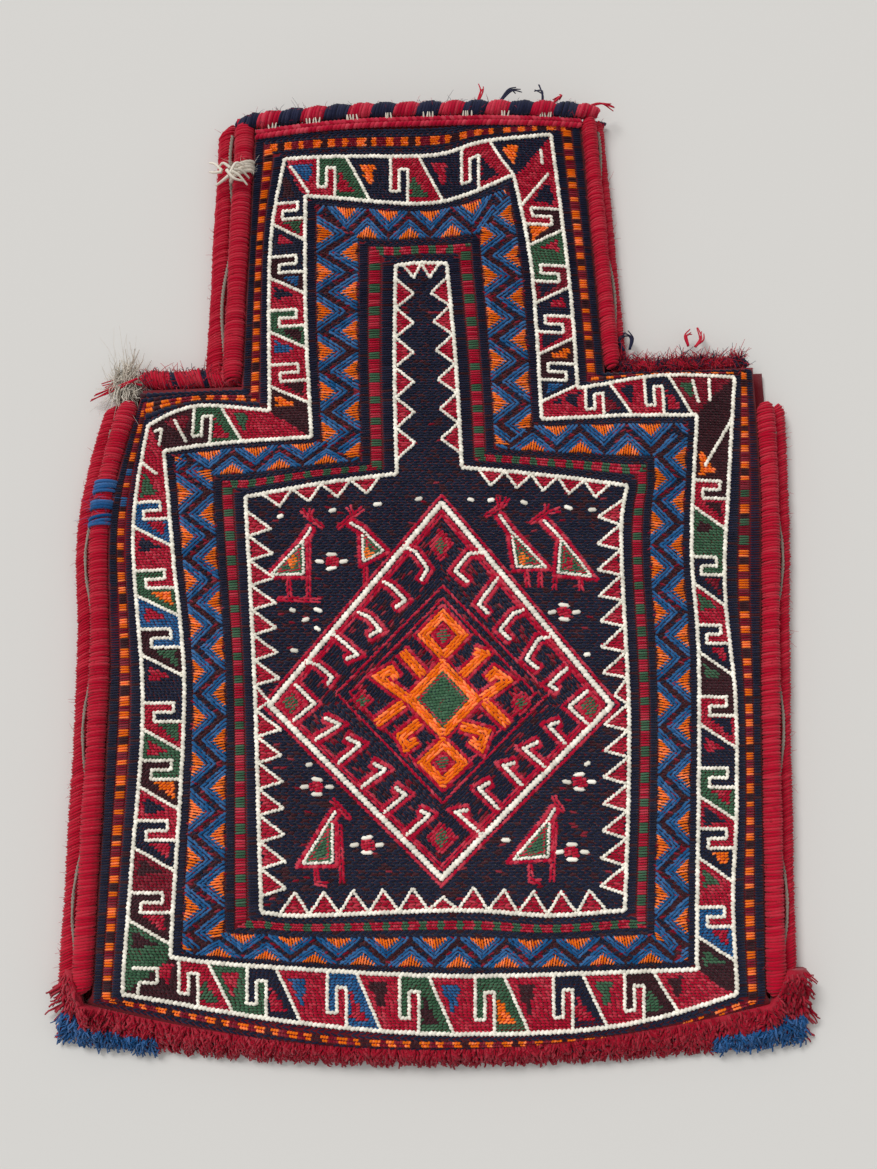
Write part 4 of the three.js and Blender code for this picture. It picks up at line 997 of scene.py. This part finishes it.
def join(parts):
    """Several meshes as one set of points and faces."""
    points, quads, tris, base = [], [], [], 0
    for spots, four, three in parts:
        points.append(spots)
        quads.append(four + base)
        tris.append(three + base)
        base += len(spots)
    return np.vstack(points), [np.vstack(quads), np.vstack(tris)]


fine = np.vstack(strands["fine"])
thick = np.vstack(strands["thick"])
laid = [(fine, FINE_POINTS, FINE_QUADS, FINE_TRIS), (thick, THICK_POINTS, THICK_QUADS, THICK_TRIS)]
for dye, (name, shade, slot, stands_for) in enumerate(YARNS):
    parts = []
    for rows, *shape in laid:
        rows = rows[rows[:, 7] == dye]
        if len(rows):
            parts.append(strand_mesh(rows, *shape))
    points, faces = join(parts)
    make_piece(name, points, faces, wool(f"{name}_wool", shade), slot, stands_for)

# Edge cords: the warps of each selvedge bundled and wrapped closely in red wool, one cord for the front
# cloth and one for the back on each side of the neck and the body. The lacing holds the two together.

CORD_RADIUS = {"neck_left": 4.8, "side_left": 4.5, "neck_right": 3.6, "side_right": 4.2}
CORD_SWELL = 0.8
CORD_GAP = 0.6
LACING_SLOT = 2.1
CORD_ENDS = {"neck_left": (3, -6), "neck_right": (3, -2), "side_left": (0, 8), "side_right": (0, 20)}
WRAP_PITCH = 1.5
WRAP_THICK = 0.92
LOWEST = 0.15
CORD_RED = colour(184, 16, 46)
OUTWARD = {"neck_left": -1, "side_left": -1, "neck_right": 1, "side_right": 1}
edge_at = {
    "neck_left": lambda up, outset: neck_point(0.0, up, outset),
    "neck_right": lambda up, outset: neck_point(1.0, up, outset),
    "side_left": lambda up, outset: body_point(0.0, up, outset),
    "side_right": lambda up, outset: body_point(1.0, up, outset),
}


def cord_path(key, is_back, count=80):
    """Centres of an edge cord from its foot to its top."""
    at, radius = edge_at[key], CORD_RADIUS[key]
    outset = 1.0 if is_back else 0.0
    length = np.linalg.norm(at(1.0, 0.0) - at(0.0, 0.0))
    rise = math.sqrt((2 * radius + LACING_SLOT) ** 2 - BACK_OUTSET[key] ** 2)
    rows = []
    for up in np.linspace(CORD_ENDS[key][0] / length, 1 - CORD_ENDS[key][1] / length, count):
        run = at(min(up + 0.01, 1.0), outset) - at(max(min(up, 1.0) - 0.01, 0.0), outset)
        run = run / np.linalg.norm(run)
        reach = OUTWARD[key] * (radius + CORD_GAP)
        spot = at(min(up, 1.0), outset) + run * length * max(up - 1.0, 0.0)
        z = radius if is_back else radius + rise
        rows.append((spot[0] + reach * run[1], spot[1] - reach * run[0], z))
    return np.array(rows)


def path_length(path):
    return np.linalg.norm(np.diff(path, axis=0), axis=1).sum()


def tube(path, radii, sides):
    """A closed round bar along a path."""
    path = np.asarray(path, float)
    ahead = np.gradient(path, axis=0)
    ahead /= np.linalg.norm(ahead, axis=1)[:, None]
    guide = np.where(np.abs(ahead[:, 2:]) < 0.9, [[0.0, 0.0, 1.0]], [[1.0, 0.0, 0.0]])
    sideways = np.cross(ahead, guide)
    sideways /= np.linalg.norm(sideways, axis=1)[:, None]
    upward = np.cross(sideways, ahead)
    turn = np.linspace(0, 2 * math.pi, sides, endpoint=False)[None, :, None]
    radii = np.broadcast_to(radii, len(path))[:, None, None]
    spots = path[:, None] + radii * (np.cos(turn) * sideways[:, None] + np.sin(turn) * upward[:, None])
    count = len(path)
    points = np.vstack([spots.reshape(-1, 3), path[:1], path[-1:]])
    ring_index = np.arange(count * sides).reshape(count, sides)
    after = np.roll(ring_index, -1, axis=1)
    quads = np.stack([ring_index[:-1], after[:-1], after[1:], ring_index[1:]], axis=-1).reshape(-1, 4)
    first, last = count * sides, count * sides + 1
    caps = [np.stack([after[0], ring_index[0], np.full(sides, first)], axis=-1)]
    caps.append(np.stack([ring_index[-1], after[-1], np.full(sides, last)], axis=-1))
    return points, quads, np.vstack(caps)


def frames_along(path, share):
    """Places along a path with the three directions there: ahead, sideways and upward."""
    share = np.asarray(share, float)
    ahead = along_curve(path, np.minimum(share + 0.01, 1)) - along_curve(path, np.maximum(share - 0.01, 0))
    ahead /= np.linalg.norm(ahead, axis=1)[:, None]
    sideways = np.cross(ahead, [0.0, 0.0, 1.0])
    sideways /= np.linalg.norm(sideways, axis=1)[:, None]
    return along_curve(path, share), ahead, sideways, np.cross(sideways, ahead)


def wound_turns(path, share, radius, thick, lean, around=11, sides=4):
    """Single turns of yarn side by side on a bar: each is a closed ring that leans on it."""
    spots, ahead, sideways, upward = (a[:, None] for a in frames_along(path, share))
    count = len(spots)
    radius, lean = (np.broadcast_to(a, count)[:, None, None] for a in (radius, lean))
    thick = np.broadcast_to(thick, count)[:, None, None, None]
    turn = np.linspace(0, 2 * math.pi, around, endpoint=False)[None, :, None]
    out = np.cos(turn) * sideways + np.sin(turn) * upward
    middle = spots + radius * out + lean * np.cos(turn) * ahead
    slice_turn = np.linspace(0, 2 * math.pi, sides, endpoint=False)[None, None, :, None]
    section = np.cos(slice_turn) * out[:, :, None] + np.sin(slice_turn) * ahead[:, :, None]
    points = middle[:, :, None] + thick * section
    points[..., 2] = np.maximum(points[..., 2], LOWEST)
    index = np.arange(count * around * sides).reshape(count, around, sides)
    after = np.roll(index, -1, axis=1)
    corners = [index, np.roll(index, -1, axis=2), np.roll(after, -1, axis=2), after]
    return points.reshape(-1, 3), np.stack(corners, axis=-1).reshape(-1, 4), np.zeros((0, 3), int)


def wrapped_cord(path, radius, lean=0.8, uneven=0.045, chosen=None):
    """A bundle closely wrapped in yarn, with rounded ends: single turns over a plain core."""
    length = path_length(path)
    turns = round(length / WRAP_PITCH)
    share = (np.arange(turns) + 0.5) / turns
    from_end = np.minimum(share, 1 - share) * length
    round_off = np.sqrt(1 - np.clip(1 - from_end / radius, 0, 0.95) ** 2)
    swell = 1 + 0.04 * np.sin(share * length / 11) + jitter(turns, uneven)
    thick = WRAP_THICK * (1 + jitter(turns, 0.14))
    rings = [(radius - 0.8 * WRAP_THICK) * round_off * swell, thick, lean + jitter(turns, 0.35)]
    keep = np.full(turns, True) if chosen is None else chosen(share)
    inset = 0.5 * radius / length
    core = tube(along_curve(path, np.linspace(inset, 1 - inset, 40)), radius * 0.7, 8)
    return [wound_turns(path, share[keep], *(a[keep] for a in rings)), core]


def fibres(paths, radius, tip=0.45):
    """Many thin fibres as one mesh; each follows its own row of points and thins to its tip."""
    paths = np.asarray(paths, float)
    paths[..., 2] = np.maximum(paths[..., 2], LOWEST + 0.8)
    count, steps = paths.shape[:2]
    chord = paths[:, -1] - paths[:, 0] + 1e-6
    chord /= np.linalg.norm(chord, axis=1)[:, None]
    first = np.cross(chord, [0.31, 0.52, 0.79])
    first /= np.linalg.norm(first, axis=1)[:, None]
    second = np.cross(chord, first)
    turn = np.linspace(0, 2 * math.pi, 3, endpoint=False)[None, :, None]
    ring = np.cos(turn) * first[:, None] + np.sin(turn) * second[:, None]
    thin = np.linspace(1.0, tip, steps)[None, :, None, None]
    points = paths[:, :, None] + np.broadcast_to(radius, count)[:, None, None, None] * thin * ring[:, None]
    index = np.arange(count * steps * 3).reshape(count, steps, 3)
    after = np.roll(index, -1, axis=2)
    quads = np.stack([index[:, :-1], after[:, :-1], after[:, 1:], index[:, 1:]], axis=-1).reshape(-1, 4)
    return points.reshape(-1, 3), quads, np.vstack([index[:, 0, ::-1], index[:, -1]])


def fuzz(path, radius, count, reach, thick=0.13):
    """Single fibres that stand off a wrapped bundle."""
    spots, ahead, sideways, upward = frames_along(path, random.uniform(0.01, 0.99, count))
    turn = random.uniform(-0.3, 3.5, count)[:, None]
    out = np.cos(turn) * sideways + np.sin(turn) * upward
    drift = random.normal(0, 1, (count, 3))
    start = spots + out * radius * 0.9
    rows = [start, start + (0.3 * out + 0.25 * drift) * reach, start + (0.3 * out + 0.6 * drift) * reach]
    return fibres(np.stack(rows, axis=1), thick)


cord_wool = wool("cord_wrapping_wool", CORD_RED, 0.24)
for key in CORD_RADIUS:
    for is_back, layer in ((False, "front"), (True, "back")):
        path = cord_path(key, is_back)
        radius = CORD_RADIUS[key] + CORD_SWELL
        parts = wrapped_cord(path, radius, 2.2 if is_back else 0.7)
        parts.append(fuzz(path, radius, round(path_length(path) * 0.9), 2.6))
        points, faces = join(parts)
        make_piece(f"{key}_{layer}_cord", points, faces, cord_wool, "red_wool", [f"cord_{key}_{layer}"])

# Lacing: a two-ply grey thread in the slot between the two cords of each edge, in a long running stitch.
# It joins front and back; each stitch floats on top for a while and dips out of sight.

LACING_STITCH = 44.0
PLY_RADIUS = 0.62
PLY_SWING = 0.5
LACING_INSET = 8
lacing_wool = wool("lacing_grey_thread", colour(140, 131, 120), 0.35)
for key in CORD_RADIUS:
    front, back = cord_path(key, False, 160), cord_path(key, True, 160)
    length = path_length(front)
    between = (front - back) / np.linalg.norm(front - back, axis=1)[:, None]
    out = np.cross([0, OUTWARD[key], 0], between)
    out /= np.linalg.norm(out, axis=1)[:, None]
    floats = 0.5 - 0.5 * np.cos(math.pi * np.linspace(0, 1, 160) * length / LACING_STITCH)
    middle = (front + back) / 2 + out * (CORD_RADIUS[key] * (-0.2 + 1.2 * floats))[:, None]
    middle, between, out = (rows[LACING_INSET:-LACING_INSET] for rows in (middle, between, out))
    twist = np.linspace(0, 2 * math.pi * length / 5, len(middle))
    plies = []
    for start in (0, math.pi):
        turn = (twist + start)[:, None]
        swing = PLY_SWING * (np.cos(turn) * between + np.sin(turn) * out)
        plies.append(tube(middle + swing, PLY_RADIUS, 5))
    points, faces = join(plies)
    make_piece(f"{key}_lacing", points, faces, lacing_wool, "grey_thread", [f"lacing_{key}"])

# Mouth rolls: the warp ends of each cloth turned over and wrapped obliquely in bundles of navy and red wool.
# Under the front roll runs a row of red chain stitch, with small ivory warp ends showing between the two.

FRONT_ROLL_RADIUS = 4.6
BACK_ROLL_RADIUS = 2.4
ROLL_OVERHANG = 10.0
BUNDLE_PITCH = 12.5
BUNDLE_STRANDS = 8
CHAIN_RADII = np.array([0.4, 1.0, 1.3, 1.4, 1.3, 1.0, 0.4])


def roll_path(is_back, count=90):
    share = np.linspace(0, 1, count)
    edge = neck_point(share, 1.0, 1.0 if is_back else 0.0)
    radius = BACK_ROLL_RADIUS if is_back else FRONT_ROLL_RADIUS
    flat = neck_point(share, 1.0)
    z = np.full(count, radius * 1.1) if is_back else front_z(flat[:, 0], flat[:, 1])
    x = edge[:, 0] + ROLL_OVERHANG * (2 * share - 1)
    return np.column_stack([x, edge[:, 1] + radius * 1.1 + 0.4, z])


def wound_strand(path, radius, start, advance, thick, count=12):
    """One strand wound most of the way round a bar, from under its far side to under its near side."""
    share = np.linspace(0, 1, count)
    spots = along_curve(path, np.clip(start + advance * share, 0, 1))
    turn = 4.0 - 5.2 * share
    wound = spots + radius * np.column_stack([np.zeros(count), np.cos(turn), np.sin(turn)])
    return tube(wound, thick * np.sin(math.pi * (0.06 + 0.88 * share)) ** 0.4, 5)


navy_roll_wool = wool("mouth_roll_navy_wool", colour(32, 35, 60), 0.5)
red_roll_wool = wool("mouth_roll_red_wool", colour(182, 22, 52), 0.45)
for is_back, layer in ((False, "front"), (True, "back")):
    path = roll_path(is_back)
    radius = BACK_ROLL_RADIUS if is_back else FRONT_ROLL_RADIUS
    bundles = round(path_length(path) / BUNDLE_PITCH)
    wraps = {0: [], 1: []}
    for bundle in range(bundles):
        for k in range(BUNDLE_STRANDS):
            place = (k + 0.5) / BUNDLE_STRANDS
            bulge = 0.66 + 0.3 * math.sin(math.pi * place) + jitter(None, 0.05)
            bulge *= min(1, 0.5 + 0.7 * (bundle + place), 0.5 + 0.7 * (bundles - bundle - place))
            start = (bundle + place - 0.25 + jitter(None, 0.03)) / bundles
            thick = radius * 0.25 * (1 + jitter(None, 0.15))
            wraps[bundle % 2].append(wound_strand(path, radius * bulge, start, 0.55 / bundles, thick))
    wraps[1].append(tube(along_curve(path, np.linspace(0.004, 0.996, 60)), radius * 0.66, 8))
    wraps[1].append(fuzz(path, radius, 150, 3.0))
    wraps[0].append(fuzz(path, radius, 150, 3.0))
    points, faces = join(wraps[1])
    make_piece(f"mouth_roll_{layer}_red", points, faces, red_roll_wool, "mouth_wool", [f"mouth_roll_{layer}"])
    points, faces = join(wraps[0])
    make_piece(f"mouth_roll_{layer}_navy", points, faces, navy_roll_wool, "mouth_wool")


def loose_strand(points, radius, sides=4):
    """A short free end of yarn, thinner at its tip."""
    path = smooth_points(points, 5)
    return tube(path, radius * np.linspace(1, 0.5, len(path)), sides)


chain = []
share = np.linspace(0.004, 0.996, 80)
flat = neck_point(share, 1.0)
for row in range(2):
    y = flat[:, 1] - 0.8 - 2.6 * row
    lean = 1.2 if row else -1.2
    for k in range(len(share) - 1):
        z = ground_z(flat[k : k + 2, 0], y[k : k + 2]) + 1.0
        start = np.array((flat[k, 0], y[k] - lean, z[0]))
        stop = np.array((flat[k + 1, 0] + 1.2, y[k + 1] + lean, z[1]))
        middle = (start + stop) / 2 + [0, 0, 0.7]
        chain.append(tube(smooth_points([start, middle, stop], 3), CHAIN_RADII, 5))
points, faces = join(chain)
make_piece("mouth_chain_row", points, faces, red_roll_wool, "mouth_wool")

warp_ends = []
for cluster in np.arange(0.05, 0.98, 2 / bundles):
    for k in range(random.integers(3, 6)):
        flat = neck_point(cluster + 0.008 * k + jitter(None, 0.003), 1.0)
        z = float(front_z(flat[0], flat[1])) + CLOTH_THICK / 2
        lean = jitter(None, 0.7)
        end = [(0, -0.2, 0.9), (lean / 2, 1.0, 1.9), (lean, 2.3, 2.5)]
        warp_ends.append(loose_strand(np.array(end) + [flat[0], flat[1], z], 0.6))
points, faces = join(warp_ends)
make_piece("mouth_warp_ends", points, faces, wool("warp_end_wool", colour(226, 216, 200), 0.3), "mouth_wool")

# Shoulder bindings: wool wound round the short edges beside the neck, red with small navy spots.
# They close the two shoulders; the right one is worn to a rough, frayed edge of red and navy.

BINDING_RADIUS = 5.6
BINDINGS = {"left": (-159, -105), "right": (96, 170)}
NAVY_SPOTS = {
    "left": [(0.3, 0.36), (0.62, 0.68)],
    "right": [(0.0, 0.13), (0.34, 0.4), (0.62, 0.68), (0.9, 1.0)],
}
BINDING_LEAN = 1.8
BINDING_UNEVEN = 0.1
FRAY_THICK = 0.24
FRAYS = {"left": (200, 4.0), "right": (900, 5.0)}
for side, (start, end) in BINDINGS.items():
    x = np.linspace(start, end, 40)
    z = np.full(40, BINDING_RADIUS * 1.15)
    path = np.column_stack([x, shoulder_y(x) + BINDING_RADIUS * 1.08 + 0.4, z])
    radius = BINDING_RADIUS * (1.0 if side == "left" else 0.6)
    path[:, 1] += 0.6 * np.sin(np.linspace(0, 14, 40)) + 0.8 * (radius - BINDING_RADIUS)

    def in_spot(share):
        return np.any([(share >= a) & (share <= b) for a, b in NAVY_SPOTS[side]], axis=0)

    count, reach = FRAYS[side]
    red = wrapped_cord(path, radius, BINDING_LEAN, BINDING_UNEVEN, lambda share: ~in_spot(share))
    red.append(fuzz(path, radius, count, reach, FRAY_THICK))
    points, faces = join(red)
    stands_for = [f"shoulder_binding_{side}"]
    make_piece(f"shoulder_{side}_binding_red", points, faces, cord_wool, "red_wool", stands_for)
    navy = wrapped_cord(path, radius, BINDING_LEAN, BINDING_UNEVEN, in_spot)[:1]
    navy.append(fuzz(path, radius, count // 2, reach, FRAY_THICK))
    points, faces = join(navy)
    make_piece(f"shoulder_{side}_binding_navy", points, faces, navy_roll_wool, "red_wool")

# Shoulder tuft: loose undyed wool caught in the left shoulder corner, a soft tangle of thin fibres.

TUFT_CENTRE = np.array([-167.0, 93.0, 7.5])
TUFT_RADII = np.array([9.5, 14.5, 6.0])


def tangle(count, stretch):
    """Curved fibres that wander inside the tuft."""
    way = random.normal(size=(count, 3))
    spot = way / np.linalg.norm(way, axis=1)[:, None] * random.uniform(0.1, 0.8, (count, 1))
    drift = random.normal(size=(count, 3)) * [0.35, 0.5, 0.3] * stretch
    bend = random.normal(size=(count, 3)) * 0.14
    rows = [spot, spot + drift * 0.35 + bend, spot + drift * 0.7 + bend, spot + drift]
    return np.stack(rows, axis=1) * TUFT_RADII + TUFT_CENTRE


tuft_wool = wool("undyed_wool", colour(212, 203, 188), 0.4)
parts = [fibres(tangle(600, 1.0), random.uniform(0.22, 0.45, 600)), fibres(tangle(140, 1.7), 0.13)]
points, faces = join(parts)
make_piece("shoulder_wool_tuft", points, faces, tuft_wool, "white_wool", ["shoulder_tuft"])

# Foot pile: short lengths of red wool knotted in rows round the foot, so that their matted ends lie outward
# past the cloth and cover the cords' ends, with loose blue wool at the two corners of the rim.

PILE_LEFT_X, PILE_RIGHT_X = -187.0, 188.0
PILE_CORNER_Y = -245.0
PILE_BOW = 12.0
PILE_TOP_Y = -210.0
PILE_HEIGHT = 8.5
CORNER_RISE = 9.0
FAN = 1.2
FAN_REACH = 9.0
PILE_FIBRES = 4400
BLUE_FIBRES = 520
BLUE_REACH = {"left": (-184.0, -138.0), "right": (140.0, 184.0)}
back_foot = body_point(np.linspace(0, 1, 90), 0.0, 1.0)


def pile_rim(x):
    across = (x - PILE_LEFT_X) / (PILE_RIGHT_X - PILE_LEFT_X)
    return PILE_CORNER_Y - 4 * PILE_BOW * across * (1 - across)


def pile_root(x):
    """The pile's inner edge: the cloth's fold, or the cords' ends at the two corners."""
    fold = np.interp(x, back_foot[:, 0], back_foot[:, 1]) - FOLD_RADIUS + 1.0
    past = np.maximum(back_foot[0, 0] - x, x - back_foot[-1, 0]) + 4
    return fold + (PILE_TOP_Y - fold) * np.clip(past / 6, 0, 1)


def pile_spot(x, across):
    """A point on top of the pile's backing, from its root at 0 to its rim at 1."""
    y = pile_root(x) + (pile_rim(x) + 3.5 - pile_root(x)) * across
    from_end = np.minimum(x - PILE_LEFT_X, PILE_RIGHT_X - x)
    height = PILE_HEIGHT + CORNER_RISE * np.exp(-((from_end - 13) / 9) ** 2) * (1 - across)
    z = (height * (1 - across**2) + 1.5) * np.sqrt(np.clip(from_end / 6, 0.15, 1))
    return np.stack(np.broadcast_arrays(x, y, z), axis=-1)


def slab(top, floor_z):
    """A closed pad from a grid of points on top down to a level."""
    bottom = top.copy()
    bottom[..., 2] = floor_z
    rows, columns = top.shape[:2]
    upper = np.arange(rows * columns).reshape(rows, columns)
    lower = upper + rows * columns
    quads = []
    for grid in (upper, lower[:, ::-1]):
        corners = [grid[:-1, :-1], grid[:-1, 1:], grid[1:, 1:], grid[1:, :-1]]
        quads.append(np.stack(corners, axis=-1).reshape(-1, 4))
    loop = np.concatenate([np.arange(columns), *[[(r + 1) * columns - 1] for r in range(1, rows)],
                           np.arange(rows * columns - 2, (rows - 1) * columns - 1, -1),
                           *[[r * columns] for r in range(rows - 2, 0, -1)]])
    after = np.roll(loop, -1)
    quads.append(np.stack([loop, loop + rows * columns, after + rows * columns, after], axis=-1))
    return np.vstack([top.reshape(-1, 3), bottom.reshape(-1, 3)]), np.vstack(quads), np.zeros((0, 3), int)


def pile_fibres(x, across, lift, reach, curl):
    """Ends of pile: each leaves the backing upward and falls outward in a lock with its neighbours."""
    root = pile_spot(x, across)
    lock = 0.45 * np.sin(0.83 * x + 4 * across) + 0.3 * np.sin(0.31 * x - 2 * across)
    spread = lock + random.normal(0, 0.28, len(x))
    by_left, by_right = (np.clip(1 - d / FAN_REACH, 0, 1) for d in (x - PILE_LEFT_X, PILE_RIGHT_X - x))
    spread = spread + FAN * (by_right - by_left)
    rows = []
    for along, high in ((-0.1, -0.8), (0.3, 1.0), (0.7, 0.8), (1.0, -0.6)):
        step = np.stack([spread * along * reach, -along * reach, np.full(len(x), high) + lift], axis=-1)
        rows.append(root + step + random.normal(0, curl, step.shape) * (along > 0))
    return np.stack(rows, axis=1)


pile_wool = wool("pile_red_wool", colour(158, 12, 38), 0.4)
blue_wool = wool("loose_blue_wool", colour(44, 92, 146), 0.55)
grid_x = np.linspace(PILE_LEFT_X + 2, PILE_RIGHT_X - 2, 130)
backing = slab(pile_spot(grid_x[None], np.linspace(0, 1, 8)[:, None])[:, ::-1], 0.4)
x = random.uniform(PILE_LEFT_X + 1, PILE_RIGHT_X - 1, PILE_FIBRES)
red_pile = pile_fibres(x, random.uniform(0, 1, PILE_FIBRES), 0.0, random.uniform(2.6, 5.0, PILE_FIBRES), 0.35)
points, faces = join([backing, fibres(red_pile, random.uniform(0.5, 0.9, PILE_FIBRES), 0.7)])
make_piece("foot_pile_red", points, faces, pile_wool, "pile_wool", ["foot_pile"])
for side, (start, end) in BLUE_REACH.items():
    x = random.uniform(start, end, BLUE_FIBRES)
    across, reach = random.uniform(0.62, 1.0, BLUE_FIBRES), random.uniform(3.0, 6.0, BLUE_FIBRES)
    ends = pile_fibres(x, across, 1.1, reach, 0.8)
    points, faces = join([fibres(ends, random.uniform(0.45, 0.75, BLUE_FIBRES), 0.7)])
    stands_for = [f"foot_pile_blue_{side}"]
    make_piece(f"foot_pile_blue_{side}_end", points, faces, blue_wool, "blue_wool", stands_for)

# Mends: a white wool tie knotted round the left neck cord, and blue mending yarn wound on the left side cord.
# Both are frayed; the mending yarn is in three loose groups of turns.

MEND_PLACES = [0.775, 0.78, 0.786, 0.803, 0.809, 0.814, 0.833, 0.838, 0.844, 0.85]
MENDS = {
    "neck_tie": ("neck_left", [0.785, 0.8, 0.812, 0.82], 1.2, 3.4, tuft_wool, "white_wool"),
    "side_mend": ("side_left", MEND_PLACES, 0.95, 1.2, blue_wool, "blue_wool"),
}
TIE_ENDS = [
    [(-117, 214, 19), (-121, 218, 19), (-125, 221, 15)],
    [(-117, 213, 20), (-121, 213, 19), (-125, 216, 14)],
    [(-112, 214, 22), (-116, 217, 22), (-119, 216, 19)],
    [(-111, 212, 22), (-107, 210, 21), (-103, 206, 18)],
    [(-110, 213, 22), (-106, 213, 21), (-102, 210, 18)],
    [(-113, 210, 21), (-118, 207, 19), (-121, 208, 14)],
    [(-112, 211, 22), (-109, 217, 22), (-105, 217, 19)],
    [(-114, 213, 22), (-110, 208, 22), (-105, 208, 19)],
]
for node, (key, places, thick, lean, material, slot) in MENDS.items():
    path = cord_path(key, False, 120)
    places = np.array(places) + jitter(len(places), 0.0015)
    radius = CORD_RADIUS[key] + CORD_SWELL + 0.35 * thick
    turns = wound_turns(path, places, radius, thick, lean * (1 + jitter(len(places), 0.6)), 16, 6)
    middle = along_curve(path, np.linspace(places.min(), places.max(), 12))
    parts = [turns, fuzz(middle, radius, 60, 4.5)]
    if node == "neck_tie":
        parts += [loose_strand(points, 1.0, 5) for points in TIE_ENDS]
    points, faces = join(parts)
    make_piece(f"{node}_yarn", points, faces, material, slot, [node])

# Loose ends: short frayed yarns at the mouth, the shoulders and the left side, in small tufts.
# Each is the end of the binding that it leaves.

LOOSE_ENDS = {
    "red": [
        [(23, 253, 19), (26, 262, 17), (26, 267, 13)],
        [(66, 256, 16), (71, 262, 13), (69, 266, 9)],
        [(84, 255, 14), (93, 259, 12), (101, 258, 9)],
        [(-160, 96, 14), (-173, 92, 10), (-186, 89, 4)],
        [(-158, 93, 12), (-170, 97, 8), (-182, 95, 3)],
        [(138, 116, 10), (137, 122, 9), (141, 126, 6)],
        [(142, 116, 9), (146, 121, 7), (146, 127, 4)],
    ],
    "navy": [
        [(36, 255, 19), (42, 264, 17), (47, 265, 14)],
        [(60, 256, 17), (61, 264, 15), (58, 270, 10)],
        [(103, 113, 11), (100, 119, 9), (103, 124, 6)],
        [(106, 114, 10), (108, 121, 8), (104, 126, 5)],
    ],
}
for name, material in (("red", cord_wool), ("navy", navy_roll_wool)):
    ends = []
    for path in LOOSE_ENDS[name]:
        for k in range(4):
            ends.append(loose_strand(np.array(path) + jitter((3, 3), 1) * [[0.3], [1.1], [2.2]], 0.6, 5))
    points, faces = join(ends)
    make_piece(f"loose_{name}_ends", points, faces, material, "red_wool")

# Floor, light and camera: a plain pale floor, soft daylight from above and a view from almost overhead.

bpy.ops.mesh.primitive_plane_add(size=6, location=(0, 0, -0.0004))
floor = bpy.context.object
floor.name = "floor"
floor_paint = bpy.data.materials.new("floor_pale")
floor_paint.use_nodes = True
floor_paint.node_tree.nodes["Principled BSDF"].inputs["Base Color"].default_value = colour(214, 212, 208)
floor_paint.node_tree.nodes["Principled BSDF"].inputs["Roughness"].default_value = 0.9
floor.data.materials.append(floor_paint)

world = bpy.data.worlds.new("soft_daylight")
world.use_nodes = True
world.node_tree.nodes["Background"].inputs["Color"].default_value = (1, 1, 1, 1)
world.node_tree.nodes["Background"].inputs["Strength"].default_value = 0.55
bpy.context.scene.world = world
lamp = bpy.data.lights.new("window_light", "SUN")
lamp.energy = 1.9
lamp.angle = math.radians(25)
window = bpy.data.objects.new("window_light", lamp)
window.rotation_euler = (math.radians(-32), math.radians(-30), 0)
bpy.context.scene.collection.objects.link(window)

CAMERA_TARGET = Vector((0.002, -0.014, 0.0))
CAMERA_DISTANCE = 0.64
CAMERA_ELEVATION = math.radians(80)
LENS = 36.955
lens = bpy.data.cameras.new("photo_camera")
lens.lens = LENS
lens.sensor_width = 36
lens.clip_start = 0.01
camera = bpy.data.objects.new("photo_camera", lens)
away = Vector((0, -math.cos(CAMERA_ELEVATION), math.sin(CAMERA_ELEVATION)))
camera.location = CAMERA_TARGET + CAMERA_DISTANCE * away
camera.rotation_euler = (math.pi / 2 - CAMERA_ELEVATION, 0, 0)
bpy.context.scene.collection.objects.link(camera)
bpy.context.scene.camera = camera
bpy.context.scene.view_settings.view_transform = "Standard"
